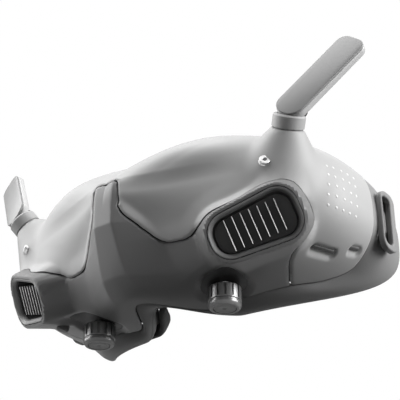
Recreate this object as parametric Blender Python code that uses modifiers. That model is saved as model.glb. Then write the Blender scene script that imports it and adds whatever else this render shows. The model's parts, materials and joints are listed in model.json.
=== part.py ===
"""FPV goggles: a shell in two halves over a face frame, with two sliding eyepieces,
two folding antennas, vents with heat sinks and a cooling fan.

Everything hangs on one empty, the eye line: the point midway between the wearer's
eyes. +X is the wearer's left, -Y is the front and +Z is up. Units are metres.
"""
import math

import bmesh
import bpy
import numpy as np
from mathutils import Matrix, Vector

MM = 0.001

# Body form, measured from the eye line.
EYE_HEIGHT = 38.0 * MM            # eye line above the surface the goggles stand on
DEPTH_SHIFT = 0.8 * MM             # puts the middle of the depth over the origin
HALF_WIDTH = 81.5 * MM            # shell, at the seam with the face frame
TOP_RISE = 40.0 * MM              # shell top above the eye line
BOTTOM_DROP = 32.0 * MM           # shell bottom below the eye line
TOP_ROUND = 2.65                  # superellipse powers of the outline
BOTTOM_ROUND = 2.3
FRONT_REACH = 49.5 * MM           # ridge ahead of the eye line
FRONT_LEAN = 0.36                 # how fast the lower front leans back
LEAN_START = -7.0 * MM            # height where that lean begins
SHELL_WALL = 2.0 * MM
SEAM_GAP = 0.3 * MM
FRAME_INSET = 0.7 * MM            # face frame's step in from the shell

# Front profile: half width and how far it lies ahead of the eye line.
PROW = [(0, 49.5), (4.6, 49.3), (10, 44.6), (15, 42.0), (22, 40.3), (32, 38.4),
        (42, 37.0), (55, 35.0), (62, 33.5), (70, 31.0), (82, 26.0)]
DOME_FALL = 4.5                   # dome above the prow: reach lost per (metre of x) squared
DOME_START, DOME_END = 5.0 * MM, 22.0 * MM
VALLEY_LEAN, VALLEY_HALF, VALLEY_START = 0.4, 28.0 * MM, 12.5 * MM   # dip over the middle of the brow

# Depth of the seam behind the eye line, by half width.
SEAM_LOW = [(0, -3), (20, -3), (32, -2.5), (50, 5), (60, 15), (70, 21), (81.5, 19)]
SEAM_HIGH = [(0, 12), (40, 17), (60, 21), (75, 21.5), (81.5, 19)]
NOSE_HALF, NOSE_DEPTH = 20 * MM, 22.5 * MM

# Face frame rim.
RIM_HALF = 77.0 * MM
RIM_TOP, RIM_DROP = 38.0 * MM, 32.0 * MM
RIM_BROW, RIM_CHEEK, RIM_TEMPLE = 16 * MM, 8 * MM, 48 * MM
RIM_NOSE_HALF, RIM_NOSE_DEPTH, RIM_NOSE_RISE = 26 * MM, 19 * MM, 4 * MM
RIM_FLANGE = 8.0 * MM
NOSE_THIN = 0.4                   # share of the flange and foam width given up over the nose
FRAME_WALL = 2.2 * MM
FOAM_THICK, FOAM_WIDE, FOAM_GAP = 4.0 * MM, 10.5 * MM, 1.6 * MM
FOAM_INSET = 3.6 * MM

# Optics.
EYE_SPACING = 64.0 * MM
RAIL_HEIGHT, RAIL_RADIUS, RAIL_HALF, RAIL_Y = 18.4 * MM, 1.5 * MM, 56.5 * MM, -5.5 * MM
CARRIAGE = (34 * MM, 14.4 * MM, 43 * MM)
CARRIAGE_Y = -9.2 * MM
BARREL_RADIUS, BARREL_WALL = 15.0 * MM, 1.4 * MM
BARREL_FRONT, BARREL_BACK = -7.0 * MM, 14.0 * MM
SLIDE_FIT = 0.4 * MM
LENS_Y = 6.0 * MM
PANEL = (26 * MM, 1.6 * MM, 22 * MM)

# Focus knobs.
KNOB_RADIUS, KNOB_HEIGHT, KNOB_Y = 6.5 * MM, 8.7 * MM, -13.3 * MM
KNOB_END = -38.0 * MM
IPD_TRAVEL = 4.0 * MM
SHAFT_RADIUS, SHAFT_TOP = 2.5 * MM, -18.3 * MM
SLEEVE_RADIUS, SLEEVE_TALL = 4.2 * MM, 3.0 * MM

# Vents: middle of the lip, its length, and its height inboard and outboard.
VENT_CENTRE = Vector((58.5, -30.6, -17.2)) * MM
VENT_OUT = Vector((0.500, -0.763, -0.410)).normalized()
VENT_ALONG = Vector((0.860, 0.384, 0.335)).normalized()
VENT_LENGTH, VENT_IN, VENT_OUTER = 33.2 * MM, 14.2 * MM, 19.4 * MM
VENT_ROUND, VENT_LIP, POD_DEPTH = 6.8 * MM, 3.2 * MM, 11.0 * MM
DUCT_WALL, DUCT_DEPTH = 1.0 * MM, 7.0 * MM
FIN_COUNT, FIN_THICK, FIN_DEPTH = 7, 0.9 * MM, 4.5 * MM

# Antennas.
STUB_BASE = Vector((69.5, -22.7, 23.8)) * MM
STUB_AXIS = Vector((0.48, -0.43, 0.76)).normalized()
STUB_RADIUS, STUB_HEIGHT = 6.4 * MM, 5.4 * MM
PADDLE_ALONG = Vector((0.553, 0.371, 0.746)).normalized()
PADDLE_FACE = Vector((0.304, -0.924, 0.234)).normalized()
PADDLE_PIVOT = Vector((74.9, -27.3, 31.5)) * MM       # on the front face
PADDLE_WIDTH, PADDLE_THICK, PADDLE_REACH = 12.6 * MM, 3.8 * MM, 38.5 * MM
CAP_THICK, PIN_RADIUS, HINGE_GAP = 0.8 * MM, 1.2 * MM, 0.4 * MM

STUD_PLACE = Vector((62.6, -29.0, 8.5)) * MM
STUD_OUT = Vector((0.60, -0.76, 0.25)).normalized()
STUD_RADIUS = 2.1 * MM

FAN_RADIUS, FAN_DEPTH, FAN_Y = 9.0 * MM, 7.0 * MM, -30.5 * MM
BLADES = 7
LUG = (26 * MM, 11 * MM, 2.8 * MM)                     # height, depth, thickness

RINGS = [0.05, 0.16, 0.32, 0.5, 0.68, 0.85, 1.0, 1.13, 1.25, 1.37, 1.47, math.pi / 2]
AROUND = 64


def clear_scene():
    for item in list(bpy.data.objects):
        bpy.data.objects.remove(item, do_unlink=True)


def collection(name):
    made = bpy.data.collections.new(name)
    bpy.context.scene.collection.children.link(made)
    return made


clear_scene()
PARTS = collection("fpv_goggles")
TOOLS = collection("cutters")
EYE_LINE = bpy.data.objects.new("eye_line", None)
EYE_LINE.location = (0, DEPTH_SHIFT, EYE_HEIGHT)
PARTS.objects.link(EYE_LINE)


def material(name, colour, rough, metal=0.0):
    made = bpy.data.materials.new(name)
    made.use_nodes = True
    shader = made.node_tree.nodes["Principled BSDF"]
    shader.inputs["Base Color"].default_value = (*colour, 1)
    shader.inputs["Roughness"].default_value = rough
    shader.inputs["Metallic"].default_value = metal
    return made


LIGHT_SHELL = material("light_shell", (0.42, 0.42, 0.42), 0.45)
DARK_SHELL = material("dark_shell", (0.30, 0.30, 0.30), 0.5)
FRAME_GREY = material("frame_grey", (0.22, 0.22, 0.22), 0.7)
FOAM = material("foam", (0.05, 0.05, 0.05), 0.95)
BLACK = material("black_plastic", (0.03, 0.03, 0.03), 0.55)
METAL = material("bright_metal", (0.7, 0.7, 0.7), 0.3, 1.0)
KNOB_GREY = material("knob_grey", (0.25, 0.25, 0.25), 0.4, 0.3)
GLASS = material("glass", (0.5, 0.55, 0.6), 0.05)
BOARD = material("board", (0.03, 0.12, 0.06), 0.6)


def add(name, mesh, finish, parent=EYE_LINE, place=(0, 0, 0), turn=None):
    made = bpy.data.objects.new(name, mesh)
    made.parent = parent
    made.location = place
    if turn is not None:
        made.rotation_euler = turn.to_euler()
    mesh.materials.append(finish)
    PARTS.objects.link(made)
    return made


def cutter(name, mesh, place=(0, 0, 0), turn=None):
    made = bpy.data.objects.new(name, mesh)
    made.parent = EYE_LINE
    made.location = place
    if turn is not None:
        made.rotation_euler = turn.to_euler()
    made.hide_render = True
    made.display_type = "WIRE"
    TOOLS.objects.link(made)
    return made


def boolean(target, tool, how="DIFFERENCE"):
    step = target.modifiers.new(tool.name, "BOOLEAN")
    step.operation = how
    step.object = tool


def from_bmesh(name, bm):
    bmesh.ops.recalc_face_normals(bm, faces=bm.faces)
    mesh = bpy.data.meshes.new(name)
    bm.to_mesh(mesh)
    bm.free()
    return mesh


def box(name, size, centre=(0, 0, 0)):
    bm = bmesh.new()
    bmesh.ops.create_cube(bm, size=1, matrix=Matrix.Translation(centre) @ Matrix.Diagonal((*size, 1)))
    return from_bmesh(name, bm)


def cylinder(name, radius, low, high, sides=20, axis="Z"):
    bm = bmesh.new()
    bmesh.ops.create_cone(bm, cap_ends=True, segments=sides, radius1=radius, radius2=radius,
                          depth=high - low, matrix=Matrix.Translation((0, 0, (low + high) / 2)))
    if axis != "Z":
        turn = Matrix.Rotation(math.pi / 2, 4, "Y") if axis == "X" else Matrix.Rotation(-math.pi / 2, 4, "X")
        bmesh.ops.transform(bm, matrix=turn, verts=bm.verts)
    mesh = from_bmesh(name, bm)
    mesh.shade_smooth()
    mesh.set_sharp_from_angle(angle=math.radians(35))
    return mesh


def turned(name, profile, sides=20):
    """Solid of revolution about Z from (radius, height) points that start and end on the axis."""
    bm = bmesh.new()
    verts = [bm.verts.new((r, 0, z)) for r, z in profile]
    edges = [bm.edges.new(pair) for pair in zip(verts, verts[1:])]
    bmesh.ops.spin(bm, geom=verts + edges, cent=(0, 0, 0), axis=(0, 0, 1),
                   angle=math.tau, steps=sides, use_merge=True)
    bmesh.ops.remove_doubles(bm, verts=bm.verts, dist=0.00001)
    mesh = from_bmesh(name, bm)
    mesh.shade_smooth()
    mesh.set_sharp_from_angle(angle=math.radians(35))
    return mesh


def prism(name, outline, low, high):
    """Flat outline in local X and Y, carried from one local height to another."""
    bm = bmesh.new()
    base = [bm.verts.new((x, y, low)) for x, y in outline]
    face = bm.faces.new(base)
    moved = bmesh.ops.extrude_face_region(bm, geom=[face])
    lifted = [item for item in moved["geom"] if isinstance(item, bmesh.types.BMVert)]
    bmesh.ops.translate(bm, vec=(0, 0, high - low), verts=lifted)
    return from_bmesh(name, bm)


def tube_prism(name, outer, inner, low, high):
    """Ring between two outlines with as many points as each other."""
    bm = bmesh.new()
    rings = [[bm.verts.new((x, y, z)) for x, y in line]
             for line, z in ((outer, low), (outer, high), (inner, high), (inner, low))]
    count = len(outer)
    for ring, after in zip(rings, rings[1:] + rings[:1]):
        for i in range(count):
            j = (i + 1) % count
            bm.faces.new((ring[i], ring[j], after[j], after[i]))
    return from_bmesh(name, bm)


def rounded(corners, radius, steps=4):
    """Outline through the given corners, each rounded by an arc."""
    points = []
    count = len(corners)
    for i in range(count):
        here = Vector(corners[i])
        back = (Vector(corners[i - 1]) - here).normalized()
        ahead = (Vector(corners[(i + 1) % count]) - here).normalized()
        half = back.angle(ahead) / 2
        middle = here + (back + ahead).normalized() * radius / math.sin(half)
        reach = radius / math.tan(half)
        start = here + back * reach - middle
        sweep = (start.angle_signed(here + ahead * reach - middle))
        for k in range(steps + 1):
            turn = Matrix.Rotation(-sweep * k / steps, 2)
            points.append(tuple(middle + turn @ start))
    return points


def grown(outline, by):
    """Outline moved out by a distance, for one that runs counter-clockwise."""
    count = len(outline)
    made = []
    for i in range(count):
        here = Vector(outline[i])
        before = (here - Vector(outline[i - 1])).normalized()
        after = (Vector(outline[(i + 1) % count]) - here).normalized()
        out = Vector((before.y, -before.x)) + Vector((after.y, -after.x))
        made.append(tuple(here + out.normalized() * by))
    return made


def eased(stops, at):
    """Smooth curve through (position, value) stops given in millimetres."""
    xs = np.array([s[0] for s in stops], float)
    ys = np.array([s[1] for s in stops], float)
    slope = np.diff(ys) / np.diff(xs)
    tangent = np.concatenate([[slope[0]], (slope[:-1] + slope[1:]) / 2, [slope[-1]]])
    flat = slope[:-1] * slope[1:] <= 0
    tangent[1:-1][flat] = 0
    at = min(max(at / MM, xs[0]), xs[-1])
    k = min(int(np.searchsorted(xs, at, side="right")) - 1, len(slope) - 1)
    span = xs[k + 1] - xs[k]
    t = (at - xs[k]) / span
    low = ys[k] * (1 + 2 * t) * (1 - t) ** 2 + tangent[k] * span * t * (1 - t) ** 2
    high = ys[k + 1] * t * t * (3 - 2 * t) + tangent[k + 1] * span * t * t * (t - 1)
    return float(low + high) * MM


def smooth_step(value):
    value = min(max(value, 0.0), 1.0)
    return value * value * (3 - 2 * value)


def outline(angle, half, top, drop, power_top, power_low):
    """Superellipse seen from the front: x and z at an angle about the eye line."""
    across, up = math.cos(angle), math.sin(angle)
    tall, power = (top, power_top) if up >= 0 else (drop, power_low)
    reach = ((abs(across) / half) ** power + (abs(up) / tall) ** power) ** (-1 / power)
    return reach * across, reach * up


def seam_depth(x, z):
    side = abs(x)
    if z >= 0:
        return eased(SEAM_HIGH, side)
    notch = NOSE_DEPTH * math.cos(math.pi * side / (2 * NOSE_HALF)) ** 2 if side < NOSE_HALF else 0
    return eased(SEAM_LOW, side) - notch


def front_depth(x, z):
    """Distance of the front surface from the eye line, negative ahead of it."""
    prow = -eased(PROW, abs(x))
    dome = -FRONT_REACH + DOME_FALL * x * x
    share = smooth_step((z - DOME_START) / (DOME_END - DOME_START))
    lean = FRONT_LEAN * max(0.0, LEAN_START - z)
    lean += VALLEY_LEAN * max(0.0, z - VALLEY_START) * math.exp(-(x / VALLEY_HALF) ** 2)
    return prow * (1 - share) + dome * share + lean


def roundness(angle):
    """Power of the curve from the front into the side: soft on top, tight below."""
    lift = math.degrees(math.asin(math.sin(angle)))
    return float(np.interp(lift, [-90, -45, -15, 0, 30, 90], [6, 5, 4.3, 4.0, 3, 2.2]))


def body_point(angle, turn, grow=0.0):
    """Point on the shell: turn runs from 0 at the middle of the front to pi/2 at the seam."""
    power = roundness(angle)
    edge_x, edge_z = outline(angle, HALF_WIDTH + grow, TOP_RISE + grow, BOTTOM_DROP + grow,
                             TOP_ROUND, BOTTOM_ROUND)
    spread = math.sin(turn) ** (2 / power)
    sink = 1 - max(math.cos(turn), 0.0) ** (2 / power)
    x, z = spread * edge_x, spread * edge_z
    front = front_depth(x, z)
    return Vector((x, front + (seam_depth(edge_x, edge_z) - front) * sink, z))


def rim_point(angle, inset=0.0):
    x, z = outline(angle, RIM_HALF, RIM_TOP, RIM_DROP, 2.6, 3.2)
    arch = math.cos(math.pi * x / (2 * RIM_NOSE_HALF)) ** 2 if z < 0 and abs(x) < RIM_NOSE_HALF else 0
    inset *= 1 - NOSE_THIN * arch
    x, z = outline(angle, RIM_HALF - inset, RIM_TOP - inset, RIM_DROP - inset, 2.6, 3.2)
    brow = smooth_step(3 * math.sin(angle))
    base = RIM_CHEEK + (RIM_BROW - RIM_CHEEK) * brow
    y = base + (RIM_TEMPLE - base) * (abs(x) / RIM_HALF) ** 3
    return Vector((x, y - RIM_NOSE_DEPTH * arch, z + RIM_NOSE_RISE * arch))


def loop_mesh(name, rings, pole=None, closed=False):
    """Faces between rings of points; a pole point closes the first ring."""
    bm = bmesh.new()
    rows = [[bm.verts.new(p) for p in ring] for ring in rings]
    count = len(rows[0])
    pairs = list(zip(rows, rows[1:]))
    if closed:
        pairs.append((rows[-1], rows[0]))
    for low, high in pairs:
        for i in range(count):
            j = (i + 1) % count
            bm.faces.new((low[i], high[i], high[j], low[j]))
    if pole is not None:
        tip = bm.verts.new(pole)
        for i in range(count):
            bm.faces.new((tip, rows[0][i], rows[0][(i + 1) % count]))
    mesh = from_bmesh(name, bm)
    mesh.shade_smooth()
    return mesh


def angles(count=AROUND):
    return [-math.pi / 2 + math.tau * i / count for i in range(count)]


def side_frame(place, out, along, side):
    """Place and turn that put local Z on out and local X on along, mirrored for the right side.

    Local Y comes out the other way round there, so shapes are even in Y or turned with side.
    """
    flip = Vector((side, 1, 1))
    axis_z = (out * flip).normalized()
    axis_x = (along * flip).normalized()
    axis_x = (axis_x - axis_z * axis_x.dot(axis_z)).normalized()
    axis_y = axis_z.cross(axis_x)
    turn = Matrix((axis_x, axis_y, axis_z)).transposed()
    return place * flip, turn


SIDES = (("left", 1), ("right", -1))

# Shell seam, seen from the front: half outline of the front cover.
SEAM_HALF = [(0, 12), (6.2, 12), (6.6, -0.5), (14, -9.5), (20, -15), (24, -16.8), (30, -16.6),
             (34.5, -13.8), (38.5, -9.8), (44, -6.6), (54, -2.6), (66, 3.4), (72, 3), (76.4, -3),
             (78, -11), (76.6, -18), (70, -22.5), (61, -25), (53, -28), (50, -31), (50, -45)]


def make_shell():
    ring = [[body_point(a, t) for a in angles()] for t in RINGS]
    pole = (0, -FRONT_REACH, 0)
    half = [(x * MM, z * MM) for x, z in SEAM_HALF]
    whole = [(x, z) for x, z in half] + [(-x, z) for x, z in reversed(half[1:])]
    whole.reverse()
    if sum(a[0] * b[1] - b[0] * a[1] for a, b in zip(whole, whole[1:] + whole[:1])) < 0:
        whole.reverse()
    stand = Matrix.Rotation(math.pi / 2, 3, "X")
    inner = cutter("seam_inner", prism("seam_inner", whole, -40 * MM, 80 * MM), turn=stand)
    outer = cutter("seam_outer", prism("seam_outer", grown(whole, SEAM_GAP), -41 * MM, 81 * MM), turn=stand)
    shells = []
    for name, finish in (("upper_shell", LIGHT_SHELL), ("front_cover", DARK_SHELL)):
        shell = add(name, loop_mesh(name, ring, pole), finish)
        wall = shell.modifiers.new("wall", "SOLIDIFY")
        wall.thickness = SHELL_WALL
        wall.offset = -1
        shells.append(shell)
    boolean(shells[0], outer)
    boolean(shells[1], inner, "INTERSECT")
    return shells


def vent_outline(grow):
    half, inner, outer = VENT_LENGTH / 2, VENT_IN / 2, VENT_OUTER / 2
    corners = [(-half, -inner), (half, -outer), (half, outer), (-half, inner)]
    return grown(rounded(corners, VENT_ROUND), grow)


def make_vents(cover):
    for name, side in SIDES:
        place, turn = side_frame(VENT_CENTRE, VENT_OUT, VENT_ALONG, side)
        pod = prism("pod", vent_outline(VENT_LIP), -POD_DEPTH, 0)
        bore = prism("bore", vent_outline(0), -POD_DEPTH - 6 * MM, 9 * MM)
        boolean(cover, cutter("pod_" + name, pod, place, turn), "UNION")
        boolean(cover, cutter("vent_bore_" + name, bore, place, turn))
        duct = tube_prism("duct", vent_outline(-SEAM_GAP), vent_outline(-SEAM_GAP - DUCT_WALL),
                          -2.5 * MM - DUCT_DEPTH, -2.5 * MM)
        add("vent_duct_" + name, duct, BLACK, place=place, turn=turn)
        make_heat_sink(name, place, turn)


def make_heat_sink(name, place, turn):
    back = -2.5 * MM - DUCT_DEPTH - SEAM_GAP
    long, tall = VENT_LENGTH - 8 * MM, VENT_IN - 2.4 * MM
    sink = add("heat_sink_" + name, box("sink", (long, tall, 2 * MM), (0, 0, back - 1 * MM)), METAL,
               place=place, turn=turn)
    pitch = (long - 8 * MM) / (FIN_COUNT - 1)
    for i in range(FIN_COUNT):
        x = (i - (FIN_COUNT - 1) / 2) * pitch
        fin = box("fin", (FIN_THICK, tall - 1 * MM, FIN_DEPTH + 1 * MM), (x, 0, back + FIN_DEPTH / 2 - 0.5 * MM))
        boolean(sink, cutter("fin_%s_%d" % (name, i), fin, place, turn), "UNION")


def make_frame():
    seam = [body_point(a, math.pi / 2) for a in angles()]
    rim = [rim_point(a) for a in angles()]
    start, middle = [], []
    for edge, back in zip(seam, rim):
        shrink = 1 - FRAME_INSET / Vector((edge.x, edge.z)).length
        base = Vector((edge.x * shrink, edge.y + SEAM_GAP, edge.z * shrink))
        start.append(base)
        swell = Vector((back.x, 0, back.z)).normalized() * 1.2 * MM
        middle.append(base.lerp(back, 0.55) + swell)
    flange = [rim_point(a, RIM_FLANGE) for a in angles()]
    frame = add("face_frame", loop_mesh("face_frame", [start, middle, rim, flange]), FRAME_GREY)
    wall = frame.modifiers.new("wall", "SOLIDIFY")
    wall.thickness = FRAME_WALL
    wall.offset = -1
    near = FOAM_GAP
    rings = []
    edge, shoulder = FOAM_INSET, near + FOAM_THICK * 0.8
    for inset, back in ((edge, near), (edge, shoulder), ((edge + FOAM_WIDE) / 2, near + FOAM_THICK),
                        (FOAM_WIDE, shoulder), (FOAM_WIDE, near)):
        rings.append([rim_point(a, inset) + Vector((0, back, 0)) for a in angles()])
    add("face_foam", loop_mesh("face_foam", rings, closed=True), FOAM)


def make_lugs():
    tall, deep, thick = LUG
    outer = rounded([(-deep / 2, -tall / 2), (deep / 2, -tall / 2), (deep / 2, tall / 2), (-deep / 2, tall / 2)],
                    3 * MM)
    inner = grown(outer, -2.2 * MM)
    for name, side in SIDES:
        turn = Matrix(((0, 0, 1), (1, 0, 0), (0, 1, 0)))
        mesh = tube_prism("lug", outer, inner, -thick / 2, thick / 2)
        place = (side * (HALF_WIDTH + 0.9 * MM), 27.5 * MM, 0)
        add("strap_lug_" + name, mesh, LIGHT_SHELL, place=place, turn=turn)


def make_antenna(shell):
    for name, side in SIDES:
        base, stub_turn = side_frame(STUB_BASE, STUB_AXIS, Vector((0, 1, 0)), side)
        boss = turned("boss", [(0, 0), (STUB_RADIUS, 0), (STUB_RADIUS + 0.8 * MM, -3 * MM),
                               (STUB_RADIUS + 3 * MM, -9 * MM), (0, -9 * MM)], 24)
        boolean(shell, cutter("boss_" + name, boss, base, stub_turn), "UNION")
        pivot, turn = side_frame(PADDLE_PIVOT, PADDLE_FACE, PADDLE_ALONG, side)
        out = turn @ Vector((0, 0, 1))
        bracket = add("antenna_bracket_" + name,
                      cylinder("bracket", STUB_RADIUS, -2 * MM, STUB_HEIGHT, 24), LIGHT_SHELL,
                      place=base, turn=stub_turn)
        lug_back = PADDLE_THICK + HINGE_GAP
        lug = cylinder("hinge_lug", 5 * MM, -lug_back - 3 * MM, -lug_back, 20)
        boolean(bracket, cutter("hinge_lug_" + name, lug, pivot, turn), "UNION")
        stem = box("stem", (10 * MM, 7 * MM, 3 * MM), (-5 * MM, 0, -lug_back - 1.5 * MM))
        boolean(bracket, cutter("stem_" + name, stem, pivot, turn), "UNION")
        under = box("under", (50 * MM, 50 * MM, 30 * MM), (0, 0, SEAM_GAP - 15 * MM))
        boolean(bracket, cutter("under_" + name, under, base, stub_turn))
        room = paddle_room(side, lug_back)
        for step, share in enumerate((0, 0.46, 1)):
            fold = Matrix.Rotation(side * FOLD_ANGLE * share, 3, out)
            cut = cutter("paddle_room_%s_%d" % (name, step), room, pivot, fold @ turn)
            boolean(bracket, cut)
            if share == 1:
                boolean(shell, cut)
        hole = cylinder("hole", PIN_RADIUS + 0.3 * MM, -lug_back - 5 * MM, -CAP_THICK - 0.3 * MM, 14)
        bore = cutter("pin_bore_" + name, hole, pivot, turn)
        boolean(bracket, bore)
        pin = cylinder("pin", PIN_RADIUS, -lug_back - 2.6 * MM, -CAP_THICK - 0.6 * MM, 14)
        add("antenna_pin_" + name, pin, METAL, place=pivot, turn=turn)
        root = PADDLE_WIDTH / 2
        shape = rounded([(-root, -root), (PADDLE_REACH, -root), (PADDLE_REACH, root), (-root, root)],
                        root - 0.4 * MM, 6)
        paddle = add("antenna_paddle_" + name,
                     prism("paddle", shape, -PADDLE_THICK, -CAP_THICK - SEAM_GAP), LIGHT_SHELL,
                     place=pivot, turn=turn)
        boolean(paddle, bore)
        add("antenna_cap_" + name, prism("cap", grown(shape, -0.3 * MM), -CAP_THICK, 0), DARK_SHELL,
            place=pivot, turn=turn)


FOLD_ANGLE = math.radians(125)


def paddle_room(side, deep):
    """Space that the paddle sweeps ahead of the hinge lug."""
    root = PADDLE_WIDTH / 2 + 0.5 * MM
    shape = rounded([(-root, -root), (60 * MM, -root), (60 * MM, root), (-root, root)], root - 0.2 * MM, 6)
    return prism("paddle_room", shape, -deep, 12 * MM)


def make_studs(shell):
    for name, side in SIDES:
        place, turn = side_frame(STUD_PLACE, STUD_OUT, Vector((0, 0, 1)), side)
        hole = cutter("stud_hole_" + name, cylinder("hole", STUD_RADIUS + 0.3 * MM, -9 * MM, 6 * MM, 16),
                      place, turn)
        boolean(shell, hole)
        profile = [(0, -4 * MM), (STUD_RADIUS, -4 * MM), (STUD_RADIUS, 1.5 * MM), (0.8 * MM, 1.5 * MM),
                   (0.8 * MM, 0.2 * MM), (0, 0.2 * MM)]
        add("shell_stud_" + name, turned("stud", profile, 16), METAL, place=place, turn=turn)


def make_eyepieces(cover):
    wide, deep, tall = CARRIAGE
    for name, side in SIDES:
        x = side * EYE_SPACING / 2
        eye = bpy.data.objects.new("eye_" + name, None)
        eye.parent = EYE_LINE
        eye.location = (x, 0, 0)
        PARTS.objects.link(eye)
        carriage = add("eyepiece_carriage_" + name, box("carriage", (wide, deep, tall), (0, CARRIAGE_Y, 0)),
                       BLACK, eye)
        bottom = CARRIAGE[2] / 2
        tools = [cylinder("bore", BARREL_RADIUS + SLIDE_FIT, -40 * MM, 20 * MM, 28, "Y"),
                 cylinder("shaft_hole", SHAFT_RADIUS + SLIDE_FIT, -30 * MM, -10 * MM, 16),
                 cylinder("sleeve_room", SLEEVE_RADIUS + SLIDE_FIT, -30 * MM, SLEEVE_TALL - bottom, 20)]
        for tool, place in zip(tools, ((x, 0, 0), (x, KNOB_Y, 0), (x, KNOB_Y, 0))):
            boolean(carriage, cutter("%s_%s" % (tool.name, name), tool, place))
        for height in (-RAIL_HEIGHT, RAIL_HEIGHT):
            hole = cylinder("rod_hole", RAIL_RADIUS + SLIDE_FIT, -25 * MM, 25 * MM, 14, "X")
            boolean(carriage, cutter("rod_hole_%s_%d" % (name, height > 0), hole, (x, RAIL_Y, height)))
        add("lens_cell_" + name, ring_mesh("cell", BARREL_RADIUS, BARREL_RADIUS - BARREL_WALL,
                                           BARREL_FRONT, BARREL_BACK), BLACK, eye)
        lens_radius = BARREL_RADIUS - BARREL_WALL - 0.3 * MM
        profile = [(0, 3.4 * MM), (lens_radius * 0.6, 2.6 * MM), (lens_radius, 0.8 * MM),
                   (lens_radius, -0.8 * MM), (lens_radius * 0.6, -2.6 * MM), (0, -3.4 * MM)]
        stand = Matrix.Rotation(-math.pi / 2, 3, "X")
        add("lens_" + name, turned("lens", profile, 28), GLASS, eye, (0, LENS_Y, 0), stand)
        panel_y = CARRIAGE_Y - deep / 2 - SEAM_GAP - PANEL[1] / 2
        add("display_" + name, box("display", PANEL, (0, panel_y, 0)), BLACK, eye)
        make_knob(name, x, cover)


def ring_mesh(name, outer, inner, low, high, sides=28):
    def circle(radius):
        return [(radius * math.cos(math.tau * i / sides), radius * math.sin(math.tau * i / sides))
                for i in range(sides)]
    mesh = tube_prism(name, circle(outer), circle(inner), low, high)
    mesh.transform(Matrix.Rotation(-math.pi / 2, 4, "X"))
    mesh.shade_smooth()
    mesh.set_sharp_from_angle(angle=math.radians(35))
    return mesh


def make_knob(name, x, cover):
    axis = bpy.data.objects.new("focus_axis_" + name, None)
    axis.parent = EYE_LINE
    axis.location = (x, KNOB_Y, KNOB_END)
    PARTS.objects.link(axis)
    recess, cap = 0.8 * MM, 4.3 * MM
    bore, floor = SHAFT_RADIUS + 0.3 * MM, 2.6 * MM
    profile = [(0, recess), (cap + 0.3 * MM, recess), (cap + 0.3 * MM, 0), (KNOB_RADIUS - 0.9 * MM, 0),
               (KNOB_RADIUS, 0.9 * MM), (KNOB_RADIUS, KNOB_HEIGHT - 0.6 * MM),
               (KNOB_RADIUS - 0.6 * MM, KNOB_HEIGHT), (bore, KNOB_HEIGHT), (bore, floor), (0, floor)]
    add("focus_knob_" + name, turned("knob", profile, 24), KNOB_GREY, axis)
    disc = [(0, 0.1 * MM), (cap, 0.1 * MM), (cap, recess - 0.3 * MM), (0, recess - 0.3 * MM)]
    add("knob_cap_" + name, turned("disc", disc, 24), BLACK, axis)
    shaft = cylinder("shaft", SHAFT_RADIUS, floor + 0.3 * MM, SHAFT_TOP - KNOB_END, 16)
    add("focus_shaft_" + name, shaft, METAL, axis)
    sleeve = ring_mesh("sleeve", SLEEVE_RADIUS, SHAFT_RADIUS + 0.35 * MM, 0.3 * MM, SLEEVE_TALL - 0.3 * MM, 20)
    sleeve.transform(Matrix.Rotation(math.pi / 2, 4, "X"))
    add("focus_sleeve_" + name, sleeve, METAL, axis, (0, 0, -CARRIAGE[2] / 2 - KNOB_END))
    reach = KNOB_RADIUS + 0.6 * MM
    far = IPD_TRAVEL + reach
    slot = rounded([(-far, -reach), (far, -reach), (far, reach), (-far, reach)], reach - 0.2 * MM, 6)
    boolean(cover, cutter("knob_slot_" + name, prism("knob_slot", slot, -45 * MM, -15 * MM), (x, KNOB_Y, 0)))


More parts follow.
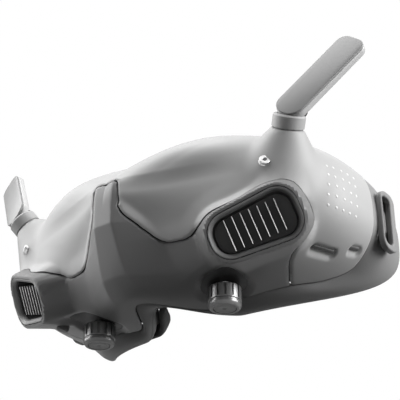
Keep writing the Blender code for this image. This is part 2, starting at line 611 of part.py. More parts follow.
def make_chassis(shell):
    rod_y = RAIL_Y
    bar_low = CARRIAGE[2] / 2 + 1.5 * MM
    pillar_x = RAIL_HALF - 1.6 * MM
    chassis = add("chassis", box("chassis", (2 * RAIL_HALF, 11 * MM, 3 * MM), (0, -5 * MM, bar_low + 1.5 * MM)),
                  BLACK)
    for i, x in enumerate((-20 * MM, 20 * MM)):
        arm = box("arm", (6 * MM, 10 * MM, 2.6 * MM), (x, -13.9 * MM, bar_low + 1.5 * MM))
        boolean(chassis, cutter("board_arm_%d" % i, arm), "UNION")
    pillars = [(0, 7 * MM, -CARRIAGE[2] / 2 + 0.6 * MM)]
    pillars += [(s * pillar_x, 3 * MM, -RAIL_HEIGHT - 2.4 * MM) for s in (-1, 1)]
    for i, (x, wide, low) in enumerate(pillars):
        top = bar_low + 1 * MM
        post = box("post", (wide, 10 * MM, top - low), (x, -5.2 * MM, (top + low) / 2))
        boolean(chassis, cutter("post_%d" % i, post), "UNION")
    for i, height in enumerate((-RAIL_HEIGHT, RAIL_HEIGHT)):
        tool = cylinder("rod_seat", RAIL_RADIUS + 0.3 * MM, -70 * MM, 70 * MM, 14, "X")
        boolean(chassis, cutter("rod_seat_%d" % i, tool, (0, rod_y, height)))
        rod = cylinder("rod", RAIL_RADIUS, -RAIL_HALF, RAIL_HALF, 14, "X")
        add(("lower" if height < 0 else "upper") + "_guide_rod", rod, METAL, place=(0, rod_y, height))
    for i, (x, top) in enumerate(((-46, 33.0), (-14, 36.5), (14, 36.5), (46, 33.0))):
        place = (x * MM, -5.5 * MM, 0)
        boss = cylinder("shell_boss", 2.9 * MM, bar_low + 3 * MM + SEAM_GAP, top * MM, 14)
        boolean(shell, cutter("shell_boss_%d" % i, boss, place), "UNION")
        tool = cutter("screw_hole_%d" % i, cylinder("screw_hole", 1.3 * MM, 0, bar_low + 7 * MM, 12), place)
        boolean(shell, tool)
        boolean(chassis, tool)
        profile = [(0, -1.5 * MM), (2.0 * MM, -1.5 * MM), (2.0 * MM, -SEAM_GAP), (1.0 * MM, -SEAM_GAP),
                   (1.0 * MM, 6.5 * MM), (0, 6.5 * MM)]
        add("chassis_screw_%d" % (i + 1), turned("screw", profile, 12), METAL,
            place=(x * MM, -5.5 * MM, bar_low))


def make_electronics():
    add("main_board", box("board", (52 * MM, 1.6 * MM, 13 * MM), (0, -20 * MM, 18.5 * MM)), BOARD)
    room = FAN_RADIUS + 1.0 * MM
    housing = add("fan_housing", box("fan_housing", (2 * room + 4 * MM, FAN_DEPTH + 2 * MM, 2 * room + 4 * MM),
                                     (0, FAN_Y, 0)), BLACK)
    ledge = box("ledge", (16 * MM, 6 * MM, 2.4 * MM), (0, -24.2 * MM, room + 0.9 * MM))
    boolean(housing, cutter("fan_ledge", ledge), "UNION")
    boolean(housing, cutter("fan_bore", cylinder("fan_bore", room, -20 * MM, 20 * MM, 24, "Y"), (0, FAN_Y, 0)))
    rotor = add("fan_rotor", cylinder("hub", 3.2 * MM, -FAN_DEPTH / 2, FAN_DEPTH / 2, 16, "Y"), BLACK,
                place=(0, FAN_Y, 0))
    for i in range(BLADES):
        blade = box("blade", (FAN_RADIUS - 2 * MM, 0.8 * MM, 4.6 * MM), ((FAN_RADIUS + 2 * MM) / 2, 0, 0))
        turn = Matrix.Rotation(math.tau * i / BLADES, 3, "Y") @ Matrix.Rotation(math.radians(50), 3, "X")
        boolean(rotor, cutter("blade_%d" % i, blade, (0, FAN_Y, 0), turn), "UNION")
    add("proximity_sensor", box("sensor", (6 * MM, 1.8 * MM, 4 * MM), (0, 1.7 * MM, 10 * MM)), BLACK)


def make_ports(shell, cover):
    card_out = Vector((0.62, -0.08, -0.78)).normalized()
    place, turn = side_frame(Vector((70.5, 0.5, -18.2)) * MM, card_out, Vector((0.1, 1, 0)), 1)
    slot = cutter("card_slot", box("slot", (12 * MM, 2.6 * MM, 12 * MM), (0, 0, 0)), place, turn)
    boolean(shell, slot)
    reader = add("card_reader", box("reader", (14 * MM, 4 * MM, 9 * MM), (0, 0, -8.2 * MM)), BLACK,
                 place=place, turn=turn)
    boolean(reader, cutter("card_gap", box("gap", (11 * MM, 1.0 * MM, 10 * MM), (0, 0, -5 * MM)), place, turn))
    usb_out = Vector((0.72, 0.0, -0.69)).normalized()
    place, turn = side_frame(Vector((74.6, 13.4, -15.4)) * MM, usb_out, Vector((0.1, 1, 0)), 1)
    boolean(shell, cutter("usb_slot", box("slot", (6.2 * MM, 3.0 * MM, 12 * MM), (0, 0, 0)), place, turn))
    socket = add("usb_socket", box("socket", (8.4 * MM, 4 * MM, 6 * MM), (0, 0, -6.6 * MM)), METAL,
                 place=place, turn=turn)
    boolean(socket, cutter("usb_gap", box("gap", (5.4 * MM, 1.8 * MM, 6 * MM), (0, 0, -4.6 * MM)), place, turn))
    key_out = Vector((-0.25, -0.1, -0.96)).normalized()
    place, turn = side_frame(Vector((-47.5, -19, -27.5)) * MM, key_out, Vector((1, 0, 0)), 1)
    boolean(cover, cutter("key_hole", cylinder("key_hole", 3.0 * MM, -8 * MM, 8 * MM, 20), place, turn))
    key = [(0, -3 * MM), (2.6 * MM, -3 * MM), (2.6 * MM, 1.4 * MM), (2.1 * MM, 1.9 * MM), (0, 1.9 * MM)]
    add("link_button", turned("key", key, 20), FRAME_GREY, place=place, turn=turn)


upper_shell, front_cover = make_shell()
make_vents(front_cover)
make_frame()
make_lugs()
make_antenna(upper_shell)
make_studs(upper_shell)
make_eyepieces(front_cover)
make_chassis(upper_shell)
make_electronics()
make_ports(upper_shell, front_cover)
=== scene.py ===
import json
import math
import bmesh
import bpy
import numpy as np
from mathutils import Matrix, Vector, kdtree


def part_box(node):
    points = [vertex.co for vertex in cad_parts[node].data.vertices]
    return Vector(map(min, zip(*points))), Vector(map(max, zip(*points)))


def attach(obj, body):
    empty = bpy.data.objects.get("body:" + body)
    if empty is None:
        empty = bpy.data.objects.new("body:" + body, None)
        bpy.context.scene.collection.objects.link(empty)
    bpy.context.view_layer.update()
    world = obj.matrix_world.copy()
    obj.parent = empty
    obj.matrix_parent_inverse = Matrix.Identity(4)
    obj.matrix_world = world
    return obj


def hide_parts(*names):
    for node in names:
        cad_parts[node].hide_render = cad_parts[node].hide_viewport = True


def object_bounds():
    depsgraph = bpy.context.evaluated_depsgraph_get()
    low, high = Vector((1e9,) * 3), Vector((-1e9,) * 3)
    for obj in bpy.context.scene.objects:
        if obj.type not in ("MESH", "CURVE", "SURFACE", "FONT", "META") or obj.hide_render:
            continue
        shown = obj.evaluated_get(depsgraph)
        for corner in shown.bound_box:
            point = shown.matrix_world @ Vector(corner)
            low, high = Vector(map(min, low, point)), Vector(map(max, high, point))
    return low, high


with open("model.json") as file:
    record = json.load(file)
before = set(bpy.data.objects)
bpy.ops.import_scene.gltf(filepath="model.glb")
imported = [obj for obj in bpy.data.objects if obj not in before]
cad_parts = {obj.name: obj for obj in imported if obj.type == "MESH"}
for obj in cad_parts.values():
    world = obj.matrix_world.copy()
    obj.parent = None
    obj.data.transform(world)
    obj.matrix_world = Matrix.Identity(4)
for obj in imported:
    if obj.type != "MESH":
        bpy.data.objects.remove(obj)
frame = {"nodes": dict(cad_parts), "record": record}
cadBox = [list(corner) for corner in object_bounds()]
mm = 0.001
print("frame loaded")

lensLow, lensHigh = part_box("lens_left")
eyeDrop = 6 * mm   # the eyes sit this far in front of the lens middle
lensDepth, lensHeight = [(lensLow[k] + lensHigh[k]) / 2 for k in (1, 2)]
eyeLine = Vector((0, lensDepth - eyeDrop, lensHeight))   # between the eyes
floorHeight = cadBox[0][2]
weldNear, weldFar = 0.00001, 0.00002   # metres within which two points become one


def freshStart():
    if bpy.context.object and bpy.context.object.mode != "OBJECT":
        bpy.ops.object.mode_set(mode="OBJECT")
    bpy.ops.object.select_all(action="DESELECT")


def pick(piece):
    freshStart()
    piece.select_set(True)
    bpy.context.view_layer.objects.active = piece


def named(name):
    piece = bpy.context.object
    piece.name = name
    piece.data.name = name
    return piece


def finishModifiers(piece):
    pick(piece)
    for step in list(piece.modifiers):
        bpy.ops.object.modifier_apply(modifier=step.name)


def coords(piece):
    flat = np.empty(len(piece.data.vertices) * 3)
    piece.data.vertices.foreach_get("co", flat)
    return flat.reshape(-1, 3)


def setCoords(piece, points):
    piece.data.vertices.foreach_set("co", np.ascontiguousarray(points, float).ravel())
    piece.data.update()


def toWorld(points):
    return np.asarray(points) * mm + np.array(eyeLine)


def smoothShade(piece, angle=35):
    pick(piece)
    bpy.ops.object.shade_smooth_by_angle(angle=math.radians(angle))


def carry(piece, place=None, turn=None):   # puts a piece's place and turn into its mesh
    move = Matrix.Translation(place if place is not None else (0, 0, 0))
    if turn is not None:
        move = move @ turn.to_4x4()
    piece.data.transform(move @ piece.matrix_basis)
    piece.matrix_basis = Matrix.Identity(4)
    if move.determinant() < 0:
        piece.data.flip_normals()
    piece.data.update()


def dress(piece, finish, body, slot, *stands):
    piece.data.materials.clear()
    piece.data.materials.append(finish)
    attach(piece, body)
    if stands:
        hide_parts(*stands)


def mount(piece, place, turn, finish, body, slot, *stands, shade=None):   # carry, smooth and dress at once
    carry(piece, place, turn)
    if shade:
        smoothShade(piece, shade)
    dress(piece, finish, body, slot, *stands)


def secondFinish(piece, finish, chosen):   # gives the chosen faces another finish
    piece.data.materials.append(finish)
    piece.data.polygons.foreach_set("material_index", np.array(chosen, int))


def outwardNormals(piece):   # vertex normals of a grid on the form, its faces turned to the front
    normals = np.empty(len(piece.data.vertices) * 3)
    piece.data.vertices.foreach_get("normal", normals)
    normals = normals.reshape(-1, 3)
    if np.sum(normals[:, 1] > 0) > len(normals) / 2:
        piece.data.flip_normals()
        normals = -normals
    return normals


def faceCorners(piece):   # vertex numbers of each four-sided face
    corners = np.empty(len(piece.data.loops), int)
    piece.data.loops.foreach_get("vertex_index", corners)
    return corners.reshape(-1, 4)


def editMode(on):
    bpy.ops.object.mode_set(mode="EDIT" if on else "OBJECT")


def selectAll(action="SELECT"):
    bpy.ops.mesh.select_all(action=action)


def dropFaces(piece, chosen):   # takes the chosen faces out and joins doubled points
    pick(piece)
    editMode(True)
    selectAll("DESELECT")
    editMode(False)
    piece.data.polygons.foreach_set("select", chosen)
    editMode(True)
    bpy.ops.mesh.select_mode(type="FACE")
    bpy.ops.mesh.delete(type="FACE")
    selectAll()
    bpy.ops.mesh.remove_doubles(threshold=weldFar)
    editMode(False)


def settle(piece, first=None, weld=True):   # one edit step if given, then points joined and faces turned out
    pick(piece)
    editMode(True)
    selectAll()
    if first:
        first()
        selectAll()
    if weld:
        bpy.ops.mesh.remove_doubles(threshold=weldNear)
    bpy.ops.mesh.normals_make_consistent(inside=False)
    editMode(False)


def thicken(piece, thickness):   # millimetres, inwards
    wall = piece.modifiers.new("wall", "SOLIDIFY")
    wall.thickness = thickness * mm
    wall.offset = -1
    finishModifiers(piece)


def newGrid(name, across, up):   # a flat grid from -1 to 1, and its points
    freshStart()
    bpy.ops.mesh.primitive_grid_add(x_subdivisions=across, y_subdivisions=up, size=2)
    piece = named(name)
    return piece, coords(piece)


def joined(name, parts):
    freshStart()
    for part in parts:
        part.select_set(True)
    bpy.context.view_layer.objects.active = parts[0]
    bpy.ops.object.join()
    return named(name)


def block(move, size):   # a box of the given size in millimetres, moved by a matrix
    freshStart()
    bpy.ops.mesh.primitive_cube_add(size=1)
    piece = bpy.context.object
    piece.data.transform(move @ Matrix.Diagonal((*[s * mm for s in size], 1)))
    return piece


def nodeGroup(name, inputs, outputs):
    group = bpy.data.node_groups.new(name, "ShaderNodeTree")
    for label, kind, value in inputs:
        socket = group.interface.new_socket(name=label, in_out="INPUT", socket_type=kind)
        if value is not None:
            socket.default_value = value
    for label, kind in outputs:
        group.interface.new_socket(name=label, in_out="OUTPUT", socket_type=kind)
    start, end = group.nodes.new("NodeGroupInput"), group.nodes.new("NodeGroupOutput")
    return group, start, end


def addNode(tree, kind, settings=None, **links):
    node = tree.nodes.new(kind)
    for key, value in (settings or {}).items():
        if hasattr(node, key) and key not in node.inputs:
            setattr(node, key, value)
        else:
            node.inputs[key].default_value = value
    for key, source in links.items():
        tree.links.new(source, node.inputs[key.replace("_", " ")])
    return node


def join(tree, a, b):
    tree.links.new(a, b)

def calc(tree, operation, *values):   # a math node fed by sockets or plain numbers
    node = addNode(tree, "ShaderNodeMath", {"operation": operation})
    for socket, value in zip(node.inputs, values):
        if isinstance(value, float):
            socket.default_value = value
        else:
            join(tree, value, socket)
    return node.outputs[0]


surfaceOutputs = [("Colour", "NodeSocketColor"), ("Roughness", "NodeSocketFloat"),
                  ("Normal", "NodeSocketVector")]


def surfaceEnds(group, start, end, share, roughness, strength, height, distance):
    tint = addNode(group, "ShaderNodeVectorMath", {"operation": "SCALE"}, Vector=start.outputs["Colour"],
                   Scale=share)
    bump = addNode(group, "ShaderNodeBump", {"Distance": distance}, Strength=strength, Height=height)
    join(group, tint.outputs[0], end.inputs["Colour"])
    join(group, roughness, end.inputs["Roughness"])
    join(group, bump.outputs["Normal"], end.inputs["Normal"])
    return group


def mouldedGroup():   # fine spark-eroded grain, slow colour drift and a little handling shine
    group, start, end = nodeGroup("mouldedGrain", [
        ("Colour", "NodeSocketColor", (0.4, 0.4, 0.4, 1)), ("Drift", "NodeSocketFloat", 0.06),
        ("Grain Size", "NodeSocketFloat", 2600.0), ("Grain Depth", "NodeSocketFloat", 0.1),
        ("Roughness", "NodeSocketFloat", 0.5), ("Polish", "NodeSocketFloat", 0.08)], surfaceOutputs)
    given = start.outputs
    place = addNode(group, "ShaderNodeTexCoord").outputs["Object"]
    size = given["Grain Size"]
    slow, wipe = [addNode(group, "ShaderNodeTexNoise", {"Scale": scale, "Detail": detail, "Roughness": rough},
                          Vector=place) for scale, detail, rough in ((28.0, 4.0, 0.55), (55.0, 5.0, 0.6))]
    speck = addNode(group, "ShaderNodeTexNoise", {"Detail": 2.0, "Roughness": 0.7}, Vector=place, Scale=size)
    cell = addNode(group, "ShaderNodeTexVoronoi", {"Randomness": 1.0}, Vector=place, Scale=size)
    middle = calc(group, "MULTIPLY_ADD", given["Drift"], -0.5, 1.0)
    drift = calc(group, "MULTIPLY_ADD", slow.outputs["Fac"], given["Drift"], middle)
    fine = calc(group, "MULTIPLY_ADD", speck.outputs["Fac"], 0.05, 0.975)
    shine = calc(group, "MULTIPLY_ADD", wipe.outputs["Fac"], given["Polish"], given["Roughness"])
    height = calc(group, "MULTIPLY_ADD", cell.outputs["Distance"], 0.6, speck.outputs["Fac"])
    return surfaceEnds(group, start, end, calc(group, "MULTIPLY", drift, fine), shine, given["Grain Depth"],
                       height, 0.00006)


def brushedGroup():   # fine lines along one axis, for machined and rolled metal
    group, start, end = nodeGroup("brushedLines", [
        ("Colour", "NodeSocketColor", (0.7, 0.7, 0.7, 1)), ("Stretch", "NodeSocketVector", (400, 400, 9000)),
        ("Roughness", "NodeSocketFloat", 0.25), ("Depth", "NodeSocketFloat", 0.2)], surfaceOutputs)
    place = addNode(group, "ShaderNodeTexCoord").outputs["Object"]
    stretch = addNode(group, "ShaderNodeVectorMath", {"operation": "MULTIPLY"})
    join(group, place, stretch.inputs[0])
    join(group, start.outputs["Stretch"], stretch.inputs[1])
    lines = addNode(group, "ShaderNodeTexNoise", {"Scale": 1.0, "Detail": 3.0}, Vector=stretch.outputs[0])
    stain = addNode(group, "ShaderNodeTexNoise", {"Scale": 160.0, "Detail": 3.0}, Vector=place)
    fade = calc(group, "MULTIPLY_ADD", stain.outputs["Fac"], 0.2, 0.9)
    rough = calc(group, "MULTIPLY_ADD", lines.outputs["Fac"], 0.2, start.outputs["Roughness"])
    return surfaceEnds(group, start, end, fade, rough, start.outputs["Depth"], lines.outputs["Fac"], 0.00004)


grain = mouldedGroup()
brushed = brushedGroup()


def finish(name, group, settings, **shaderSettings):
    made = bpy.data.materials.new(name)
    made.use_nodes = True
    tree = made.node_tree
    shader = tree.nodes["Principled BSDF"]
    for key, value in shaderSettings.items():
        shader.inputs[key.replace("_", " ")].default_value = value
    node = tree.nodes.new("ShaderNodeGroup")
    node.node_tree = group
    for key, value in settings.items():
        node.inputs[key].default_value = value
    for key in ("Colour", "Roughness", "Normal"):
        join(tree, node.outputs[key], shader.inputs["Base Color" if key == "Colour" else key])
    return made


def grey(value, warm=0.0):
    return (value * (1 + warm), value, value * (1 - warm), 1)


satinShell = finish("satinShell", grain, {"Colour": grey(0.34), "Roughness": 0.5, "Grain Depth": 0.16,
                                          "Polish": 0.08, "Drift": 0.04}, Specular_IOR_Level=0.45)
satinCover = finish("satinCover", grain, {"Colour": grey(0.13), "Roughness": 0.44, "Grain Depth": 0.18,
                                          "Polish": 0.08, "Drift": 0.05}, Specular_IOR_Level=0.45)
softFrame = finish("softFrame", grain, {"Colour": grey(0.2), "Roughness": 0.6, "Grain Depth": 0.35,
                                        "Grain Size": 1500.0, "Drift": 0.08}, Specular_IOR_Level=0.3)
padFabric = finish("padFabric", grain, {"Colour": grey(0.022), "Roughness": 0.85, "Grain Depth": 1.0,
                                        "Grain Size": 900.0, "Drift": 0.3}, Specular_IOR_Level=0.2,
                   Sheen_Weight=0.3, Sheen_Roughness=0.5)
matBlack = finish("matBlack", grain, {"Colour": grey(0.012), "Roughness": 0.5, "Grain Depth": 0.3},
                  Specular_IOR_Level=0.4)
knobGrey = finish("knobGrey", grain, {"Colour": grey(0.22), "Roughness": 0.26, "Grain Depth": 0.1,
                                      "Polish": 0.1}, Metallic=0.5)
# light grey for the downward-facing knob end discs: painted reflection, standing in for the light these discs
# would catch
knobFacePaintedReflection = finish("knobFacePaintedReflection", grain, {"Colour": grey(0.75), "Roughness": 0.4, "Grain Depth": 0.2})
finMetal = finish("finMetal", brushed, {"Colour": grey(0.5), "Roughness": 0.3}, Metallic=0.9)
# dark metal for the fin faces behind the front edges: painted shade between the fins inside the vent
finPaintedShade = finish("finPaintedShade", brushed, {"Colour": grey(0.05), "Roughness": 0.4}, Metallic=0.6)
pinMetal = finish("pinMetal", brushed, {"Colour": grey(0.5), "Roughness": 0.42}, Metallic=1.0)
capGrey = finish("capGrey", grain, {"Colour": grey(0.19), "Roughness": 0.34, "Grain Depth": 0.12,
                                    "Drift": 0.05}, Specular_IOR_Level=0.45)
boardGreen = finish("boardGreen", grain, {"Colour": (0.02, 0.1, 0.04, 1), "Roughness": 0.35}, Coat_Weight=0.3)
panelGlass = finish("panelGlass", grain, {"Colour": (0.01, 0.012, 0.02, 1), "Roughness": 0.08,
                                          "Grain Depth": 0.0, "Polish": 0.02})
bezelGrey = finish("bezelGrey", grain, {"Colour": grey(0.13), "Roughness": 0.4, "Grain Depth": 0.15})
paddleLight = finish("paddleLight", grain, {"Colour": grey(0.42), "Roughness": 0.36, "Grain Depth": 0.12},
                     Specular_IOR_Level=0.45)
dotLight = finish("dotLight", grain, {"Colour": grey(0.62), "Roughness": 0.4})


def lensFinish():
    made = bpy.data.materials.new("lensGlass")
    made.use_nodes = True
    shader = made.node_tree.nodes["Principled BSDF"]
    for key, value in {"Base Color": (0.93, 0.95, 1, 1), "Roughness": 0.02, "Transmission Weight": 0.92,
                       "IOR": 1.5, "Coat Weight": 0.5, "Coat Tint": (0.75, 0.7, 1, 1)}.items():
        shader.inputs[key].default_value = value
    return made


lensGlass = lensFinish()
print("finishes made")

# The body form, in millimetres from the eye line. Lists hold stops: place, then value.
bodyForm = {"half": 81.5, "top": 40.0, "drop": 32.0, "topRound": 2.65, "lowRound": 2.3,
            "reach": 49.5, "lean": 0.36, "leanStart": -7.0, "leanBlend": 9, "leanBack": 1.0,
            "recess": [(0, 41.5), (12, 40.8), (20, 39.6), (26, 38.6), (35, 37.2), (45, 36), (53, 34.8),
                       (60, 32.4), (68, 27.5), (82, 22)],
            "brow": [(0, 48.9), (6.5, 47.9), (10, 46.6), (15, 44.4), (20, 42.5), (26, 40.6), (35, 38.2),
                     (45, 36.3), (53, 34.8), (60, 32.4), (68, 27.5), (82, 22)],
            "browLow": -10.0, "browHigh": 6.0,
            "ridgeHalf": [(-40, 11.5), (-33.4, 10), (-26.5, 6.1), (-7, 4.6), (12, 4.6), (40, 4.6)],
            "ridgeFront": [(-45, 22), (-33.4, 34.6), (-26.5, 42.4), (-7, 49.1), (12, 49.7), (40, 49.9)],
            "ridgeSlope": [(-45, 0.5), (-26.5, 0.62), (-14, 0.66), (-7, 0.82), (12, 0.95), (40, 0.95)],
            "ridgeRound": 0.12, "prowBlend": 0.5,
            "seamLow": [(0, -3), (20, -3), (32, -2.5), (50, 5), (60, 15), (70, 21), (81.5, 19)],
            "seamHigh": [(0, 12), (40, 17), (60, 21), (75, 21.5), (81.5, 19)],
            "crease": [(0, -26.5), (6, -26.5), (13.2, -29.6), (23.4, -28.3), (35.3, -24.3), (44, -19),
                       (56, -12), (82, -8)],
            "tuck": [(0, 0), (5, 0), (8, 1.0), (36, 1.1), (44, 0.5), (52, 0), (82, 0)],
            "edgePower": [(-90, 6), (-45, 5), (-15, 4.3), (0, 4.0), (30, 3), (90, 2.2)],
            "dip": 0.4, "dipHalf": 28.0, "dipStart": 12.5,
            "noseHalf": 20.0, "noseDepth": 22.5, "domeStart": 6.0, "domeEnd": 24.0, "domeFall": 0.0045}
rimForm = {"half": 77.0, "top": 38.0, "drop": 32.0, "topRound": 2.6, "lowRound": 3.2, "brow": 16.0,
           "cheek": 8.0, "temple": 48.0, "noseHalf": 26.0, "noseDepth": 19.0, "noseRise": 4.0,
           "noseThin": 0.4}


def eased(stops, at):   # smooth curve through stops
    xs, ys = np.array(stops, float).T
    slope = np.diff(ys) / np.diff(xs)
    lean = np.concatenate([[slope[0]], (slope[:-1] + slope[1:]) / 2, [slope[-1]]])
    lean[1:-1][slope[:-1] * slope[1:] <= 0] = 0
    at = np.clip(at, xs[0], xs[-1])
    k = np.clip(np.searchsorted(xs, at, side="right") - 1, 0, len(slope) - 1)
    span = xs[k + 1] - xs[k]
    t = (at - xs[k]) / span
    return (ys[k] * (1 + 2 * t) * (1 - t) ** 2 + lean[k] * span * t * (1 - t) ** 2
            + ys[k + 1] * t * t * (3 - 2 * t) + lean[k + 1] * span * t * t * (t - 1))


def smoothStep(value):
    value = np.clip(value, 0.0, 1.0)
    return value * value * (3 - 2 * value)


def outlineAt(angle, half, top, drop, topRound, lowRound):
    across, up = np.cos(angle), np.sin(angle)
    tall = np.where(up >= 0, top, drop)
    power = np.where(up >= 0, topRound, lowRound)
    reach = ((np.abs(across) / half) ** power + (np.abs(up) / tall) ** power) ** (-1 / power)
    return reach * across, reach * up


def smoothMax(a, b, width):
    return (a + b + np.sqrt((a - b) ** 2 + width * width)) / 2


def bodyOutline(angle):
    return outlineAt(angle, *[bodyForm[key] for key in ("half", "top", "drop", "topRound", "lowRound")])


def rimOutline(angle, inset=0.0):
    return outlineAt(angle, *[rimForm[key] - inset for key in ("half", "top", "drop")], rimForm["topRound"],
                     rimForm["lowRound"])


def noseArch(x, form):   # 1 on the middle line, 0 at the sides of the nose notch
    return np.cos(np.pi * x / (2 * form["noseHalf"])) ** 2


def straight(key, at):   # straight lines through the stops of the body form
    return np.interp(at, *np.array(bodyForm[key], float).T)


def rise(value, low, high):   # smooth step from 0 at low to 1 at high
    return smoothStep((value - bodyForm[low]) / (bodyForm[high] - bodyForm[low]))


def seamDepth(x, z):
    side = np.abs(x)
    notch = np.where(side < bodyForm["noseHalf"], bodyForm["noseDepth"] * noseArch(side, bodyForm), 0)
    return np.where(z >= 0, eased(bodyForm["seamHigh"], side), eased(bodyForm["seamLow"], side) - notch)


def frontDepth(x, z):
    half, front, slope = [straight(key, z) for key in ("ridgeHalf", "ridgeFront", "ridgeSlope")]
    side = np.abs(x) - half
    ridge = -front + slope * (side + np.sqrt(side * side + bodyForm["ridgeRound"])) / 2
    share = rise(z, "browLow", "browHigh")
    recess, brow = [eased(bodyForm[key], np.abs(x)) for key in ("recess", "brow")]
    recess = -(recess * (1 - share) + brow * share)
    leaning = smoothMax(0, bodyForm["leanStart"] - z, bodyForm["leanBlend"])
    recess += bodyForm["lean"] * (leaning - bodyForm["leanBack"])
    crease, tuck = straight("crease", np.abs(x)), straight("tuck", np.abs(x))
    recess = recess + tuck * np.maximum(0, crease - z)
    prow = -smoothMax(-ridge, -recess, bodyForm["prowBlend"])
    dome = -bodyForm["reach"] + bodyForm["domeFall"] * x * x
    dip = np.maximum(0, z - bodyForm["dipStart"]) * np.exp(-(x / bodyForm["dipHalf"]) ** 2)
    dome, prow = dome + bodyForm["dip"] * dip, prow + bodyForm["dip"] * dip
    share = rise(z, "domeStart", "domeEnd")
    return prow * (1 - share) + dome * share


def squareToDisc(u, v):
    return u * np.sqrt(1 - v * v / 2), v * np.sqrt(1 - u * u / 2)


def bodyPoints(u, v):   # u across and v up, -1 to 1, cover the whole front of the body
    across, up = squareToDisc(u, v)
    radius = np.sqrt(across ** 2 + up ** 2)
    turn = np.minimum(radius, 1) * np.pi / 2
    angle = np.arctan2(up * np.where(up > 0, bodyForm["top"], bodyForm["drop"]), across * bodyForm["half"])
    edgeX, edgeZ = bodyOutline(angle)
    power = straight("edgePower", np.degrees(np.arcsin(np.sin(angle))))
    s, c = np.sin(turn), np.maximum(np.cos(turn), 0)
    size = (s ** power + c ** power) ** (1 / power)
    spread, sink = s / size, 1 - c / size
    x, z = spread * edgeX, spread * edgeZ
    front = frontDepth(x, z)
    return np.stack([x, front + (seamDepth(edgeX, edgeZ) - front) * sink, z], -1)


def rimPoints(angle, inset=0.0):
    x, z = rimOutline(angle)
    arch = np.where((z < 0) & (np.abs(x) < rimForm["noseHalf"]), noseArch(x, rimForm), 0)
    x, z = rimOutline(angle, inset * (1 - rimForm["noseThin"] * arch))
    base = rimForm["cheek"] + (rimForm["brow"] - rimForm["cheek"]) * smoothStep(3 * np.sin(angle))
    y = base + (rimForm["temple"] - base) * (np.abs(x) / rimForm["half"]) ** 3
    return np.stack([x, y - rimForm["noseDepth"] * arch, z + rimForm["noseRise"] * arch], -1)


def sideAxes(out, along, side):   # rows: along, across, out
    flip = np.array([side, 1, 1])
    axisZ = np.array(out) * flip / np.linalg.norm(out)
    axisX = np.array(along) * flip
    axisX = axisX - axisZ * axisX.dot(axisZ)
    axisX /= np.linalg.norm(axisX)
    return np.stack([axisX, np.cross(axisZ, axisX), axisZ])


def onSide(point, side):   # the point, mirrored for the right-hand side
    return np.array(point) * [side, 1, 1]


def worldPlace(point, side=1):
    return Vector(toWorld([onSide(point, side)])[0])


sides = (("left", 1), ("right", -1))
# the fin faces deeper than the last depth value take a dark finish, as painted shade inside the vent
vent = {"centre": (58.5, -30.6, -17.2), "out": (0.5, -0.763, -0.41), "along": (0.86, 0.384, 0.335),
        "length": 36.1, "inner": 17.1, "outer": 22.4, "corner": 8.2, "lip": 0.9, "wall": 3.6, "blend": 1.8,
        "fins": 7, "finThick": 0.3, "finTall": 12.4, "finDeep": 7.6, "finMiddle": -5.4, "finPitch": 3.35,
        "paintedShadeBelow": -1.68}
stub = {"base": (69.5, -22.7, 23.8), "axis": (0.48, -0.43, 0.76), "radius": 6.4, "height": 5.4,
        "slope": 1.7, "blend": 4.0}


def ventOutline(grow=0.0, steps=10):   # rounded four-sided line, counter-clockwise
    half, low, high, r = vent["length"] / 2, vent["inner"] / 2, vent["outer"] / 2, vent["corner"]
    corners = [Vector(p) for p in ((-half, -low), (half, -high), (half, high), (-half, low))]
    line = []
    for i, here in enumerate(corners):
        back = (corners[i - 1] - here).normalized()
        ahead = (corners[(i + 1) % 4] - here).normalized()
        lean = back.angle(ahead) / 2
        middle = here + (back + ahead).normalized() * r / math.sin(lean)
        start = here + back * r / math.tan(lean) - middle
        sweep = start.angle_signed(here + ahead * r / math.tan(lean) - middle)
        for k in range(steps + 1):
            line.append(middle + Matrix.Rotation(-sweep * k / steps, 2) @ start * ((r + grow) / r))
    return np.array([tuple(p) for p in line])


def dense(line, step=0.25, closed=True):
    line = np.asarray(line, float)
    ends = np.roll(line, -1, 0) if closed else line[1:]
    made = []
    for a, b in zip(line, ends):
        count = max(int(np.linalg.norm(b - a) / step), 1)
        made.append(a + (b - a) * (np.arange(count) / count)[:, None])
    return np.concatenate(made if closed else made + [line[-1:]])


def insideLine(points, line):   # even-odd test in a plane
    inside = np.zeros(len(points), bool)
    for (ax, ay), (bx, by) in zip(line, np.roll(line, -1, 0)):
        cross = (ay > points[:, 1]) != (by > points[:, 1])
        with np.errstate(divide="ignore", invalid="ignore"):
            at = ax + (points[:, 1] - ay) * (bx - ax) / (by - ay)
        inside ^= cross & (points[:, 0] < at)
    return inside


def nearestOn(points, line):   # index of and distance to the nearest of the line's points
    line = np.asarray(line, float)
    flat = line.shape[1] == 2
    tree = kdtree.KDTree(len(line))
    for i, p in enumerate(line):
        tree.insert((p[0], p[1], 0) if flat else p, i)
    tree.balance()
    found = [tree.find((p[0], p[1], 0) if flat else p) for p in points]
    return np.array([f[1] for f in found]), np.array([f[2] for f in found])


ventLine = dense(ventOutline())


